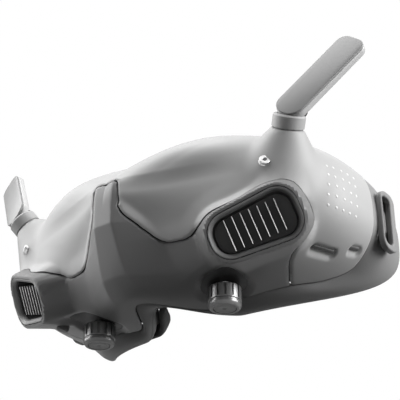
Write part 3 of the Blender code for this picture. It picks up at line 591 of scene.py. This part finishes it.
def raisedForm(points):   # adds the vent pods and the antenna bosses
    points = points.copy()
    for _, side in sides:
        axes = sideAxes(vent["out"], vent["along"], side)
        centre = onSide(vent["centre"], side)
        local = (points - centre) @ axes.T
        near = np.where((np.abs(local[:, 0]) < 32) & (np.abs(local[:, 1]) < 26) & (local[:, 2] > -26))[0]
        flat = local[near][:, :2]
        _, gap = nearestOn(flat, ventLine)
        gap = np.where(insideLine(flat, ventLine), -gap, gap)
        roll = np.clip(gap - vent["lip"] + 0.5, 0, 1.1)
        top = -0.5 * roll ** 2 - vent["wall"] * np.maximum(gap - vent["lip"] - 0.6, 0)
        high = smoothMax(local[near, 2], top, vent["blend"] * smoothStep((gap - 0.6) / 3))
        local[near, 2] = high + (local[near, 2] - high) * smoothStep((gap - 6) / 5)
        points = local @ axes + centre
        axes = sideAxes(stub["axis"], (0, 1, 0), side)
        centre = onSide(stub["base"], side)
        local = (points - centre) @ axes.T
        away = np.linalg.norm(local[:, :2], axis=1)
        near = np.where((away < 22) & (local[:, 2] > -26))[0]
        gap = away[near] - stub["radius"]
        top = -stub["slope"] * np.maximum(gap, 0) - 0.15 * np.clip(gap + 0.8, 0, 0.8)
        high = smoothMax(local[near, 2], top, stub["blend"] * smoothStep((gap + 1) / 3))
        local[near, 2] = high + (local[near, 2] - high) * smoothStep((gap - 7) / 7)
        points = local @ axes + centre
    return points


# Seam between the upper shell and the front cover, wearer's left half, from the top of the ridge.
seamStops = [(0, -49.6, 12.2), (5.8, -47.6, 12.1), (6.5, -47.6, 10.3), (6.6, -47.6, 0.1),
             (7.1, -47.1, -1.6), (8.1, -46.3, -3.4), (9.9, -44.8, -5.1), (13.3, -41.8, -8.6),
             (16.8, -39, -12.2), (19.5, -37, -14.6), (22.1, -35.8, -15.6), (25.4, -35, -15.9),
             (29.8, -34.1, -15.7), (32.1, -33.9, -14.9), (34.6, -34.4, -12.5), (37.5, -34.9, -10.1),
             (40.8, -35, -8.3), (46.1, -34.3, -6.9), (53.3, -32.1, -3.9), (57.6, -29.8, -0.9),
             (63.2, -25.1, 2), (66.2, -22, 2.5), (68.9, -19.4, 1.3), (71.1, -17.4, -1.4),
             (72.8, -15.2, -5.1), (73.3, -12.6, -9), (72.4, -10.7, -12.1), (70.3, -9.6, -15),
             (66.6, -9.3, -18.2), (63.1, -9.9, -20.6), (60.1, -9.1, -22.7), (58.1, -7.8, -23.9),
             (54.2, -1.8, -25.8), (50.9, 3, -26.7), (49, 9, -27.6)]


def seamOnForm():   # the seam as points on the form: its u and v, and its place
    side = np.linspace(-1, 1, 501)
    u, v = [a.ravel() for a in np.meshgrid(side, side)]
    form = bodyPoints(u, v)
    half = dense(np.array(seamStops, float), 0.8, closed=False)
    found, _ = nearestOn(half, form)
    uv = np.stack([u[found], v[found]], -1)
    for _ in range(6):   # rounds the corners off a little
        uv[1:-1] = (uv[:-2] + 2 * uv[1:-1] + uv[2:]) / 4
    uv[0, 0] = 0
    both = np.concatenate([uv[::-1] * [-1, 1], uv[1:]])
    fine = dense(both, 0.0012, closed=False)
    return fine, bodyPoints(fine[:, 0], fine[:, 1])


seamUv, seamPlace = seamOnForm()
seamArea = np.concatenate([seamUv, [(seamUv[-1, 0], -1.3), (seamUv[0, 0], -1.3)]])
formSteps = 301


def formSamples():
    across = np.linspace(-1, 1, formSteps)
    u, v = np.meshgrid(across, across)
    place = raisedForm(bodyPoints(u.ravel(), v.ravel())).reshape(formSteps, formSteps, 3)
    normal = np.cross(np.gradient(place, axis=0), np.gradient(place, axis=1))
    normal /= np.maximum(np.linalg.norm(normal, axis=2), 1e-9)[:, :, None]
    if (normal[:, :, 1] > 0).mean() > 0.5:
        normal = -normal
    return place.reshape(-1, 3), normal.reshape(-1, 3)


formPlace, formNormal = formSamples()


def onForm(point):   # nearest place on the raised form, and its outward normal
    found, _ = nearestOn([np.array(point)], formPlace)
    return formPlace[found[0]], formNormal[found[0]]


portForm = {"card": {"place": (69.2, 0.4, -18.6), "run": (0.25, 1, 0.1), "long": 11.5, "tall": 2.0,
                     "scoop": 2.9, "scoopShift": -1.2, "depth": 1.5},
            "cable": {"place": (74.8, 13.8, -14.6), "run": (0.25, 1, 0.1), "long": 5.5, "tall": 2.2,
                      "scoop": 2.6, "scoopShift": -1.0, "depth": 1.1}}
knobHollow = {"x": 32.0, "y": -13.3, "radius": 12.0, "depth": 2.6, "below": -20, "blend": 4}
shells = {"across": 300, "up": 210, "gap": 0.17, "roll": 0.9, "rollDepth": 0.6, "wall": 1.7, "tongue": 0.55,
          "edgeTurn": 0.985, "edgeDrop": 0.5, "crowding": 1.3}


def crowded(u):   # closer lines at the ridge
    return np.sign(u) * np.abs(u) ** shells["crowding"]


def between(corners, chosen, count):   # points that lie on both chosen and other faces
    touched = np.zeros((count, 2), bool)
    touched[corners[chosen].ravel(), 0] = True
    touched[corners[~chosen].ravel(), 1] = True
    return np.where(touched.all(1))[0]


def openGap(raised, corners, keep, onSeam):   # moves the seam points back towards their own side
    neighbour = np.zeros((len(raised), 3))
    count = np.zeros(len(raised))
    middlePlace = raised[corners[keep]].mean(1)
    for k in range(4):
        np.add.at(neighbour, corners[keep][:, k], middlePlace)
        np.add.at(count, corners[keep][:, k], 1)
    away = neighbour[onSeam] / np.maximum(count[onSeam], 1)[:, None] - raised[onSeam]
    away /= np.maximum(np.linalg.norm(away, axis=1), 1e-6)[:, None]
    raised[onSeam] += away * shells["gap"]


def openVents(raised, corners):   # puts points on each vent's lip and finds the faces inside it
    opened = np.zeros(len(corners), bool)
    for _, side in sides:
        axes = sideAxes(vent["out"], vent["along"], side)
        centre = onSide(vent["centre"], side)
        local = (raised - centre) @ axes.T
        reach = (np.abs(local[:, 0]) < 20) & (np.abs(local[:, 1]) < 12) & (np.abs(local[:, 2]) < 4)
        faceMiddle = local[corners].mean(1)
        inside = insideLine(faceMiddle[:, :2], ventLine) & reach[corners].all(1)
        onLip = between(corners, inside, len(raised))
        found, _ = nearestOn(local[onLip][:, :2], ventLine)
        local[onLip, :2] = ventLine[found]
        local[onLip, 2] = 0
        raised[onLip] = local[onLip] @ axes + centre
        opened |= inside
    return opened


def shellGrid(name, isCover):
    piece, grid = newGrid(name, shells["across"], shells["up"])
    u, v = crowded(grid[:, 0]), grid[:, 1].copy()
    middles = np.empty(len(piece.data.polygons) * 3)
    piece.data.polygons.foreach_get("center", middles)
    middles = middles.reshape(-1, 3)
    inCover = insideLine(np.stack([crowded(middles[:, 0]), middles[:, 1]], -1), seamArea)
    corners = faceCorners(piece)
    onSeam = between(corners, inCover, len(u))
    stretch = np.array([bodyForm["half"], 36.0])   # makes steps in u and v about equal
    found, _ = nearestOn(np.stack([u[onSeam], v[onSeam]], -1) * stretch, seamUv * stretch)
    u[onSeam], v[onSeam] = seamUv[found, 0], seamUv[found, 1]
    points = bodyPoints(u, v)
    _, gap = nearestOn(points, seamPlace)
    raised = raisedForm(points)
    setCoords(piece, raised)
    normals = outwardNormals(piece)
    toSeam = 1 - np.clip(gap / shells["roll"], 0, 1)
    lift = -shells["roll"] * (1 - np.sqrt(np.clip(1 - toSeam ** 2, 0, 1))) * shells["rollDepth"]
    front = smoothStep((52 - np.abs(points[:, 0])) / 10) * smoothStep((14 - points[:, 2]) / 4)
    if not isCover:
        lift += shells["tongue"] * smoothStep((9 - gap) / 9) * front
    across, up = squareToDisc(u, v)
    turn = np.sqrt(np.minimum(across ** 2 + up ** 2, 1))
    lift -= shells["edgeDrop"] * smoothStep((turn - shells["edgeTurn"]) / 0.015)
    if isCover:
        for _, side in sides:
            away = np.hypot(points[:, 0] - side * knobHollow["x"], points[:, 1] - knobHollow["y"])
            low = smoothStep((knobHollow["below"] - points[:, 2]) / 5)
            hollow = smoothStep((knobHollow["radius"] - away) / knobHollow["blend"])
            lift -= knobHollow["depth"] * low * hollow
    else:
        for spec in portForm.values():
            place, out = onForm(spec["place"])
            axes = sideAxes(out, spec["run"], 1)
            local = (raised - place) @ axes.T
            reach = np.abs(local[:, 2]) < 5
            across = np.clip(np.abs(local[:, 0]) - spec["long"] / 2 + 1.2, 0, None) / 2.2
            down = np.abs(local[:, 1] - spec["scoopShift"]) / spec["scoop"]
            hollow = smoothStep(1.25 - np.hypot(across, down)) * reach
            lift = lift - hollow * spec["depth"]
    raised = raised + normals * lift[:, None]
    keep = inCover if isCover else ~inCover
    openGap(raised, corners, keep, onSeam)
    drop = ~keep
    if isCover:
        drop |= openVents(raised, corners)
    setCoords(piece, toWorld(raised))
    dropFaces(piece, drop)
    return piece


def outwardCheck(piece):   # a closed piece's volume is positive when its faces point outwards
    bm = bmesh.new()
    bm.from_mesh(piece.data)
    if bm.calc_volume(signed=True) < 0:
        bmesh.ops.reverse_faces(bm, faces=bm.faces)
        bm.to_mesh(piece.data)
    bm.free()


def newPiece(name, build):   # an empty piece filled by the given function
    freshStart()
    bpy.ops.mesh.primitive_plane_add(size=1)
    piece = named(name)
    bm = bmesh.new()
    build(bm)
    bm.to_mesh(piece.data)
    bm.free()
    return piece


def ringTurn(name, profile, steps=64):   # spins a (radius, height) line about Z, in millimetres
    def build(bm):
        verts = [bm.verts.new((r * mm, 0, z * mm)) for r, z in profile]
        for a, b in zip(verts, verts[1:]):
            bm.edges.new((a, b))

    piece = newPiece(name, build)
    settle(piece, lambda: bpy.ops.mesh.spin(steps=steps, angle=math.tau, center=(0, 0, 0), axis=(0, 0, 1)))
    outwardCheck(piece)
    return piece


def slab(name, outline, low, high):   # flat outline in millimetres, raised from low to high
    def build(bm):
        bm.faces.new([bm.verts.new((x * mm, y * mm, low * mm)) for x, y in outline])

    piece = newPiece(name, build)
    move = {"value": (0, 0, (high - low) * mm)}
    settle(piece, lambda: bpy.ops.mesh.extrude_region_move(TRANSFORM_OT_translate=move), weld=False)
    outwardCheck(piece)
    return piece


def softEdges(piece, width, segments=3, angle=40):
    step = piece.modifiers.new("edges", "BEVEL")
    step.width = width * mm
    step.segments = segments
    step.limit_method = "ANGLE"
    step.angle_limit = math.radians(angle)
    step.harden_normals = False
    finishModifiers(piece)
    smoothShade(piece, 50)


def cut(piece, tool):
    step = piece.modifiers.new("cut", "BOOLEAN")
    step.operation = "DIFFERENCE"
    step.solver = "EXACT"
    step.object = tool
    finishModifiers(piece)
    bpy.data.objects.remove(tool, do_unlink=True)


def makeShells():
    for name, isCover, look, slot, node in (("upperShell", False, satinShell, "light_shell", "upper_shell"),
                                            ("frontCover", True, satinCover, "dark_shell", "front_cover")):
        piece = shellGrid(name, isCover)
        thicken(piece, shells["wall"])
        smoothShade(piece, 22 if isCover else 35)
        dress(piece, look, "goggles", slot, node)
        print(name, "made,", len(piece.data.polygons), "faces")


makeShells()


innerSkin = {"across": 150, "up": 110, "share": 0.992, "sink": 2.0, "wall": 0.4}


def makeInnerSkin():   # dark lining close behind the shells, so no light comes through the seams
    piece, grid = newGrid("innerSkin", innerSkin["across"], innerSkin["up"])
    raised = raisedForm(bodyPoints(grid[:, 0] * innerSkin["share"], grid[:, 1] * innerSkin["share"]))
    setCoords(piece, raised)
    raised = raised - outwardNormals(piece) * innerSkin["sink"]
    hidden = np.zeros(len(piece.data.polygons), bool)
    corners = faceCorners(piece)
    for _, side in sides:
        axes = sideAxes(vent["out"], vent["along"], side)
        local = (raised - onSide(vent["centre"], side)) @ axes.T
        middle = local[corners].mean(1)
        hidden |= (np.abs(middle[:, 0]) < 21) & (np.abs(middle[:, 1]) < 14.5) & (np.abs(middle[:, 2]) < 9)
    setCoords(piece, toWorld(raised))
    dropFaces(piece, hidden)
    thicken(piece, innerSkin["wall"])
    smoothShade(piece, 40)
    dress(piece, matBlack, "goggles", "black_plastic")


makeInnerSkin()


def ringGrid(name, rings):   # a closed grid whose rows are the given rings of points, in millimetres
    rings = np.asarray(rings, float)
    rings = np.concatenate([rings, rings[:, :1]], 1)
    rows, count = rings.shape[:2]
    piece, grid = newGrid(name, count - 1, rows - 1)
    column = np.rint((grid[:, 0] + 1) / 2 * (count - 1)).astype(int)
    row = np.rint((grid[:, 1] + 1) / 2 * (rows - 1)).astype(int)
    setCoords(piece, toWorld(rings[row, column]))
    settle(piece)
    return piece


skirt = {"around": 300, "inset": 0.7, "gap": 0.35, "bulge": 1.6, "flange": 8.0, "wall": 1.9, "edge": 1.3}


def makeSkirt():
    angle = np.linspace(-np.pi / 2, 1.5 * np.pi, skirt["around"], endpoint=False)
    edgeX, edgeZ = bodyOutline(angle)
    reach = np.hypot(edgeX, edgeZ)
    shrink = 1 - skirt["inset"] / reach
    seam = np.stack([edgeX * shrink, seamDepth(edgeX, edgeZ) + skirt["gap"], edgeZ * shrink], -1)
    rim = rimPoints(angle)
    out = np.stack([rim[:, 0], 0 * reach, rim[:, 2]], -1)
    out /= np.linalg.norm(out, axis=1)[:, None]
    inner = seam - out * 1.5 - [0, 1.2, 0]
    rings = [inner, seam - out * 0.35 - [0, 0.05, 0]]
    for t in np.linspace(0, 1, 22)[:-1]:
        rings.append(seam + (rim - [0, 1.2, 0] - seam) * t + out * skirt["bulge"] * np.sin(np.pi * t) ** 0.8)
    for turn in np.radians([0, 22, 45, 68, 90]):
        sink = [0, skirt["edge"] * (np.sin(turn) - 1), 0]
        rings.append(rim + out * skirt["edge"] * (np.cos(turn) - 1) + sink)
    for inset in (2.2, 3.2, 3.4, 6.8, 7.0, skirt["flange"]):
        rings.append(rimPoints(angle, inset) - [0, 0.0 if inset < 3.3 or inset > 6.9 else 0.6, 0])
    piece = ringGrid("faceSkirt", rings)
    low = min(piece.data.polygons, key=lambda f: f.center.z)
    if low.normal.z > 0:
        piece.data.flip_normals()
    thicken(piece, skirt["wall"])
    smoothShade(piece, 45)
    dress(piece, softFrame, "goggles", "frame_grey", "face_frame")


foam = {"inset": 3.6, "wide": 10.4, "near": 1.75, "thick": 4.0, "around": 260, "pressure": 3.0, "cap": 0.5,
        "stiffness": 25, "frames": 14}


def makeFoam():
    angle = np.linspace(-np.pi / 2, 1.5 * np.pi, foam["around"], endpoint=False)
    low, high, tall = foam["inset"], foam["wide"], foam["thick"]
    rings = []
    for turn in np.linspace(0, math.tau, 20, endpoint=False):
        c, n = math.cos(turn), math.sin(turn)
        across = np.sign(c) * abs(c) ** 0.6
        up = np.sign(n) * abs(n) ** (0.9 if n > 0 else 0.35)
        inset = (low + high) / 2 + across * (high - low) / 2
        back = foam["near"] + tall * (0.5 + 0.5 * up)
        rings.append(rimPoints(angle, inset) + np.array([0, 1, 0]) * back)
    rings.append(rings[0])
    piece = ringGrid("facePad", rings)
    outwardCheck(piece)
    start = coords(piece)
    cloth = piece.modifiers.new("fill", "CLOTH")
    cloth.settings.use_pressure = True
    cloth.settings.uniform_pressure_force = foam["pressure"]
    cloth.settings.effector_weights.gravity = 0
    cloth.settings.tension_stiffness = foam["stiffness"]
    scene = bpy.context.scene
    cloth.point_cache.frame_end = foam["frames"]
    for number in range(1, foam["frames"] + 1):
        scene.frame_set(number)
    finishModifiers(piece)
    moved = coords(piece) - start
    length = np.maximum(np.linalg.norm(moved, axis=1), 1e-9)
    moved *= np.minimum(1, foam["cap"] * mm / length)[:, None]
    setCoords(piece, start + moved)
    scene.frame_set(1)
    spot = coords(piece)
    setCoords(piece, spot + 0.00008 * np.sin(spot * 900) * np.cos(spot[:, [1, 2, 0]] * 700))
    smoothShade(piece, 60)
    dress(piece, padFabric, "goggles", "foam", "face_foam")


def turnOf(rows):
    return Matrix([list(r) for r in rows]).transposed()


bezelSection = [(-0.9, -8.6), (-0.75, -1.2), (-0.32, -0.45), (-0.3, -0.12), (-0.45, 0.0), (-0.7, -0.05),
                (-1.1, -0.35), (-1.7, -1.2), (-1.95, -1.8), (-2.0, -2.6), (-2.1, -4), (-2.6, -8.6)]


def makeVents():
    for label, side in sides:
        turn = turnOf(sideAxes(vent["out"], vent["along"], side))
        place = worldPlace(vent["centre"], side)
        rings = []
        for grow, depth in bezelSection + bezelSection[:1]:
            line = ventOutline(grow, 12)
            rings.append(np.concatenate([line, np.full((len(line), 1), depth)], 1))
        piece = ringGrid("ventBezel_" + label, rings)
        outwardCheck(piece)
        piece.data.transform(Matrix.Translation(-eyeLine))
        deep = [face.center.z < -2.2 * mm for face in piece.data.polygons]
        mount(piece, place, turn, bezelGrey, "goggles", "black_plastic", "vent_duct_" + label, shade=40)
        secondFinish(piece, matBlack, deep)
        piece = slab("ventBack_" + label, ventOutline(-2.4, 6), -9.9, -8.9)
        mount(piece, place, turn, matBlack, "goggles", "black_plastic", "heat_sink_" + label)
        fins = []
        for k in range(vent["fins"]):
            x = (k - (vent["fins"] - 1) / 2) * vent["finPitch"]
            fins.append(block(Matrix.Translation((x * mm, 0, vent["finMiddle"] * mm)),
                              (vent["finThick"], vent["finTall"], vent["finDeep"])))
        piece = joined("ventFins_" + label, fins)
        softEdges(piece, 0.1, 2)
        # fin faces behind the front edges take the dark finish: painted shade between the fins inside the
        # vent
        deep = [face.center.z < vent["paintedShadeBelow"] * mm for face in piece.data.polygons]
        mount(piece, place, turn, finMetal, "goggles", "bright_metal")
        secondFinish(piece, finPaintedShade, deep)


studForm = {"place": (62.6, -29.0, 8.5), "out": (0.60, -0.76, 0.25),
            "profile": [(0, -4), (2.1, -4), (2.1, -0.4), (2.25, -0.3), (2.25, 0.1), (2.1, 0.25), (2.1, 1.35),
                        (1.95, 1.5), (1.0, 1.5), (0.85, 1.35), (0.85, -1.6), (0, -1.6)]}


def makeStuds():
    for label, side in sides:
        piece = ringTurn("stud_" + label, studForm["profile"], 40)
        turn = turnOf(sideAxes(studForm["out"], (0, 0, 1), side))
        mount(piece, worldPlace(studForm["place"], side), turn, pinMetal, "goggles", "bright_metal",
              "shell_stud_" + label, shade=30)


paddleForm = {"pivot": (74.9, -27.3, 31.5), "along": (0.553, 0.371, 0.746), "face": (0.304, -0.924, 0.234),
              "width": 12.6, "reach": 38.5, "thick": 3.9, "cap": 0.9, "inset": 0.15}


def roundedBar(low, high, half, r, steps=10, rHigh=None):   # rHigh rounds the far end by itself
    line = []
    far = r if rHigh is None else rHigh
    for x, y, start, q in ((high - far, half - far, 0, far), (low + r, half - r, 90, r),
                           (low + r, r - half, 180, r), (high - far, far - half, 270, far)):
        for k in range(steps + 1):
            a = math.radians(start + 90 * k / steps)
            line.append((x + q * math.cos(a), y + q * math.sin(a)))
    return line


def makeAntennas():
    form = paddleForm
    half, inset, back = form["width"] / 2, form["inset"], -form["thick"]
    r, h = stub["radius"], stub["height"]
    for label, side in sides:
        rider = "antenna_" + label
        turn = turnOf(sideAxes(form["face"], form["along"], side))
        place = worldPlace(form["pivot"], side)
        piece = slab("paddle_" + label, roundedBar(-half, form["reach"], half, half - 0.8, 14, 4.2),
                     back - 0.15, -form["cap"] - 0.12)
        softEdges(piece, 0.6, 4, 60)
        mount(piece, place, turn, paddleLight, rider, "light_shell", "antenna_paddle_" + label)
        outline = roundedBar(-half + inset, form["reach"] - inset, half - inset, half - 0.95, 14, 4.05)
        piece = slab("paddleFace_" + label, outline, -form["cap"] - 0.06, 0)
        softEdges(piece, 0.3, 3, 60)
        mount(piece, place, turn, capGrey, rider, "dark_shell", "antenna_cap_" + label)
        base = worldPlace(stub["base"], side)
        piece = ringTurn("collar_" + label, [
            (0, 0.1), (r - 0.5, 0.1), (r - 0.45, 0.35), (r, 0.45), (r, h - 0.6), (r - 0.5, h), (r - 1.6, h),
            (r - 1.7, h - 0.9), (0, h - 0.9)])
        mount(piece, base, turnOf(sideAxes(stub["axis"], (0, 1, 0), side)), satinShell, "goggles",
              "light_shell", "antenna_bracket_" + label, shade=30)
        knuckle = ringTurn("knuckle_" + label, [(0, back - 3.3), (3.9, back - 3.3), (4.4, back - 2.8),
                                                (4.4, back - 0.75), (4.1, back - 0.45), (0, back - 0.45)], 40)
        mount(knuckle, place, turn, matBlack, "goggles", "black_plastic", "antenna_pin_" + label, shade=30)
        stem = slab("hingeStem_" + label, roundedBar(-3.6, 3.6, 2.6, 1.2, 5), h - 1.5, h + 1.3)
        softEdges(stem, 0.5, 3)
        mount(stem, base, turnOf(sideAxes(stub["axis"], (1, 0.4, 0), side)), matBlack, "goggles",
              "black_plastic")


knobForm = {"radius": 6.5, "height": 8.7, "slots": 14, "slotWide": 0.85, "slotDeep": 0.6, "slotLong": 7,
            "slotMiddle": 6.9}
discProfile = [(0, 0.42), (0.75, 0.42), (0.8, 0.16), (1.0, 0.1), (3.0, 0.1), (3.1, 0.22), (3.3, 0.22),
               (3.4, 0.1), (4.2, 0.1), (4.3, 0.2), (4.3, 0.55), (0, 0.55)]


def makeKnobs():
    r, h = knobForm["radius"], knobForm["height"]
    profile = [(0, 0.7), (4.5, 0.7), (4.55, 0.1), (4.7, 0), (5.5, 0), (5.8, 0.15), (6.35, 0.95), (6.45, 1.3),
               (6.45, 2.0), (6.1, 2.2), (6.1, 2.75), (6.45, 2.95), (r, 3.2), (r, h - 0.5), (r - 0.4, h),
               (3.2, h), (2.9, h - 0.3), (2.9, 2.6), (0, 2.6)]
    slot = (2 * knobForm["slotDeep"], knobForm["slotWide"], knobForm["slotLong"])
    for label, _ in sides:
        low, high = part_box("focus_knob_" + label)
        place = Vector(((low[0] + high[0]) / 2, (low[1] + high[1]) / 2, low[2]))
        piece = ringTurn("knob_" + label, profile, 84)
        tools = []
        for k in range(knobForm["slots"]):
            turn = Matrix.Rotation(math.tau * k / knobForm["slots"], 4, "Z")
            out = Matrix.Translation((r * mm, 0, knobForm["slotMiddle"] * mm))
            tools.append(block(turn @ out, slot))
        cut(piece, joined("slots", tools))
        mount(piece, place, None, knobGrey, "knob_" + label, "knob_grey", "focus_knob_" + label, shade=25)
        disc = ringTurn("knobDisc_" + label, discProfile, 60)
        # the end disc takes the light grey painted reflection finish
        mount(disc, place, None, knobFacePaintedReflection, "knob_" + label, "black_plastic", "knob_cap_" + label, shade=25)


dotForm = {"corners": [(75.6, -7.2, 11.6), (79.6, 6.6, 11.2), (76.8, -8.6, -5.7), (80.5, 5.5, -6)],
           "rows": 5, "radius": 0.6, "flat": 0.3}


def makeDots():
    a, b, c, d = [np.array(p) for p in dotForm["corners"]]
    made = []
    for i in range(dotForm["rows"]):
        for j in range(dotForm["rows"]):
            s, t = [k / (dotForm["rows"] - 1) for k in (j, i)]
            place, out = onForm((a * (1 - s) + b * s) * (1 - t) + (c * (1 - s) + d * s) * t)
            freshStart()
            bpy.ops.mesh.primitive_uv_sphere_add(segments=14, ring_count=6, radius=dotForm["radius"] * mm)
            dot = bpy.context.object
            turn = Vector(out).to_track_quat("Z", "Y").to_matrix().to_4x4()
            dot.data.transform(Matrix.Translation(worldPlace(place)) @ turn
                               @ Matrix.Diagonal((1, 1, dotForm["flat"], 1)))
            made.append(dot)
    piece = joined("touchDots", made)
    carry(piece)
    smoothShade(piece, 60)
    dress(piece, dotLight, "goggles", "light_shell")


def makePorts():
    for name, spec in portForm.items():
        place, out = onForm(spec["place"])
        axes = sideAxes(out, spec["run"], 1)
        half, tall = spec["long"] / 2, spec["tall"] / 2
        piece = slab(name + "Slot", roundedBar(-half, half, tall, tall * 0.55, 5), -2.0, -0.75)
        softEdges(piece, 0.15, 2)
        mount(piece, worldPlace(place), turnOf(axes), matBlack, "goggles", "black_plastic")
        outline = roundedBar(-half * 0.86, half * 0.86, tall * 0.3, tall * 0.25, 4)
        lip = slab(name + "Lip", outline, -1.4, -0.6)
        softEdges(lip, 0.08, 2)
        mount(lip, worldPlace(place + axes[1] * 0.3), turnOf(axes), softFrame, "goggles", "frame_grey")


def mirrorDown(piece):
    piece.data.transform(Matrix.Scale(-1, 4, (0, 0, 1)))
    piece.data.flip_normals()


def makeLugs():
    turn = Matrix(((0, 0, 1), (1, 0, 0), (0, 1, 0)))
    for label, side in sides:
        low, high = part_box("strap_lug_" + label)
        middle = (Vector(low) + Vector(high)) / 2
        tall, deep = (high[2] - low[2]) / mm / 2, (high[1] - low[1]) / mm / 2
        piece = slab("strapLug_" + label, roundedBar(-deep, deep, tall, 4.2, 10), -1.6, 1.1)
        tool = slab("slot", roundedBar(-deep + 1.3, deep - 3.6, tall - 2.6, 2.2, 8), -5, 5)
        cut(piece, tool)
        softEdges(piece, 0.9, 5)
        outline = roundedBar(-deep + 1.4, deep - 1.4, tall - 1.6, 2.0, 6)
        pocket = slab("lugPocket_" + label, outline, -0.5, 0.1)
        if side < 0:
            mirrorDown(piece)
            mirrorDown(pocket)
        mount(piece, middle, turn, softFrame, "goggles", "frame_grey", "strap_lug_" + label)
        mount(pocket, middle - Vector((side * 1.75 * mm, 0, 0)), turn, matBlack, "goggles", "black_plastic")


linerForm = {"half": 70.0, "top": 33.5, "drop": 29.0, "y": -2.2, "hole": 16.2, "travel": 4.3, "eye": 32.0}


def makeLiner():
    form = linerForm
    angle = np.linspace(0, math.tau, 160, endpoint=False)
    rings = []
    for share in np.linspace(0.004, 1, 46):
        x, z = outlineAt(angle, form["half"], form["top"], form["drop"], 2.6, 2.8)
        x, z = x * share, z * share
        nose = np.exp(-(x / 17) ** 4) * smoothStep((-z - 20) / 5)
        y = form["y"] + 14 * smoothStep((np.abs(x) - 46) / 26) ** 1.5 - 11 * nose
        rings.append(np.stack([x, y, z], -1))
    piece = ringGrid("innerLiner", rings)
    thicken(piece, 1.0)
    outwardCheck(piece)
    wide = form["hole"] + form["travel"]
    for side in (-1, 1):
        tool = slab("eyeHole", roundedBar(-wide, wide, form["hole"], form["hole"] - 0.2, 14), -40, 40)
        tool.data.transform(Matrix.Rotation(math.pi / 2, 4, "X"))
        carry(tool, eyeLine + Vector((side * form["eye"], 0, 0)) * mm)
        outwardCheck(tool)
        cut(piece, tool)
    smoothShade(piece, 40)
    dress(piece, matBlack, "goggles", "black_plastic")


def dressCad():   # inner pieces keep their CAD shape and take a finished surface
    looks = {"light_shell": satinShell, "dark_shell": satinCover, "frame_grey": softFrame, "foam": padFabric,
             "black_plastic": matBlack, "bright_metal": pinMetal, "knob_grey": knobGrey, "glass": lensGlass,
             "board": boardGreen}
    slots = {entry["node"]: entry["material_slot"] for entry in frame["record"]["subparts"]}
    for name, node in frame["nodes"].items():
        look = looks[slots[name]]
        if name.startswith("display"):
            look = panelGlass
        for place in node.material_slots:
            place.material = look


makeSkirt()
makeFoam()
print("face frame and pad made")
makeVents()
makeStuds()
makeAntennas()
makeKnobs()
print("vents, studs, antennas and knobs made")
makeDots()
makePorts()
makeLugs()
makeLiner()
dressCad()
print("small pieces made")

view = {"azimuth": 37.466, "elevation": -28.396, "distance": 466.391, "aimX": 9.934, "lens": 99.0}


def makeCamera():
    a, e = math.radians(view["azimuth"]), math.radians(view["elevation"])
    back = Vector((math.sin(a) * math.cos(e), -math.cos(a) * math.cos(e), math.sin(e)))
    freshStart()
    bpy.ops.object.camera_add()
    camera = bpy.context.object
    camera.name = "camera"
    camera.location = eyeLine + Vector((view["aimX"], 0, 22)) * mm + back * view["distance"] * mm
    camera.rotation_euler = back.to_track_quat("Z", "Y").to_euler()
    camera.data.lens = view["lens"]
    camera.data.sensor_width = 36
    camera.data.clip_start = 0.01
    bpy.context.scene.camera = camera


def areaLight(name, place, aim, size, power):
    freshStart()
    bpy.ops.object.light_add(type="AREA", location=place)
    light = bpy.context.object
    light.name = name
    light.data.shape = "RECTANGLE"
    light.data.size, light.data.size_y = size
    light.data.energy = power
    light.rotation_euler = (Vector(place) - Vector(aim)).to_track_quat("Z", "Y").to_euler()


def makeFloor():
    freshStart()
    bpy.ops.mesh.primitive_plane_add(size=3, location=(0, 0, floorHeight))
    floor = named("floor")
    carry(floor)
    made = bpy.data.materials.new("paleFloor")
    made.use_nodes = True
    tree = made.node_tree
    shader = tree.nodes["Principled BSDF"]
    for key, value in {"Base Color": (0.5, 0.5, 0.5, 1), "Roughness": 0.8, "Emission Color": (1, 1, 1, 1),
                       "Emission Strength": 0.42}.items():
        shader.inputs[key].default_value = value
    through = tree.nodes.new("ShaderNodeBsdfTransparent")
    side = tree.nodes.new("ShaderNodeNewGeometry")
    path = tree.nodes.new("ShaderNodeLightPath")
    hide = calc(tree, "MAXIMUM", side.outputs["Backfacing"], path.outputs["Is Diffuse Ray"])
    blend(tree, hide, shader, through, tree.nodes["Material Output"])
    floor.data.materials.append(made)


def blend(tree, share, first, second, out):   # mixes two shaders into the output
    mix = tree.nodes.new("ShaderNodeMixShader")
    join(tree, share, mix.inputs["Fac"])
    join(tree, first.outputs[0], mix.inputs[1])
    join(tree, second.outputs[0], mix.inputs[2])
    join(tree, mix.outputs[0], out.inputs["Surface"])


def makeWorld():   # white behind everything, but only a little light from it
    world = bpy.data.worlds.new("studio")
    bpy.context.scene.world = world
    world.use_nodes = True
    tree = world.node_tree
    tree.nodes.clear()
    seen, lit = [addNode(tree, "ShaderNodeBackground", {"Color": (1, 1, 1, 1), "Strength": strength})
                 for strength in (1.0, 0.055)]
    path = tree.nodes.new("ShaderNodeLightPath")
    blend(tree, path.outputs["Is Camera Ray"], lit, seen, tree.nodes.new("ShaderNodeOutputWorld"))


makeCamera()
makeFloor()
makeWorld()
areaLight("keyLight", (-0.62, -0.38, 0.50), (-0.01, 0, 0.05), (0.8, 0.9), 13.5)
areaLight("sideLight", (0.74, 0.20, 0.26), (0.03, 0, 0.04), (0.5, 0.8), 14.0)
areaLight("topLight", (0.05, -0.10, 0.85), (0, 0, 0.05), (0.8, 0.8), 9.5)
bpy.context.scene.view_settings.view_transform = "Standard"
print("stage set")
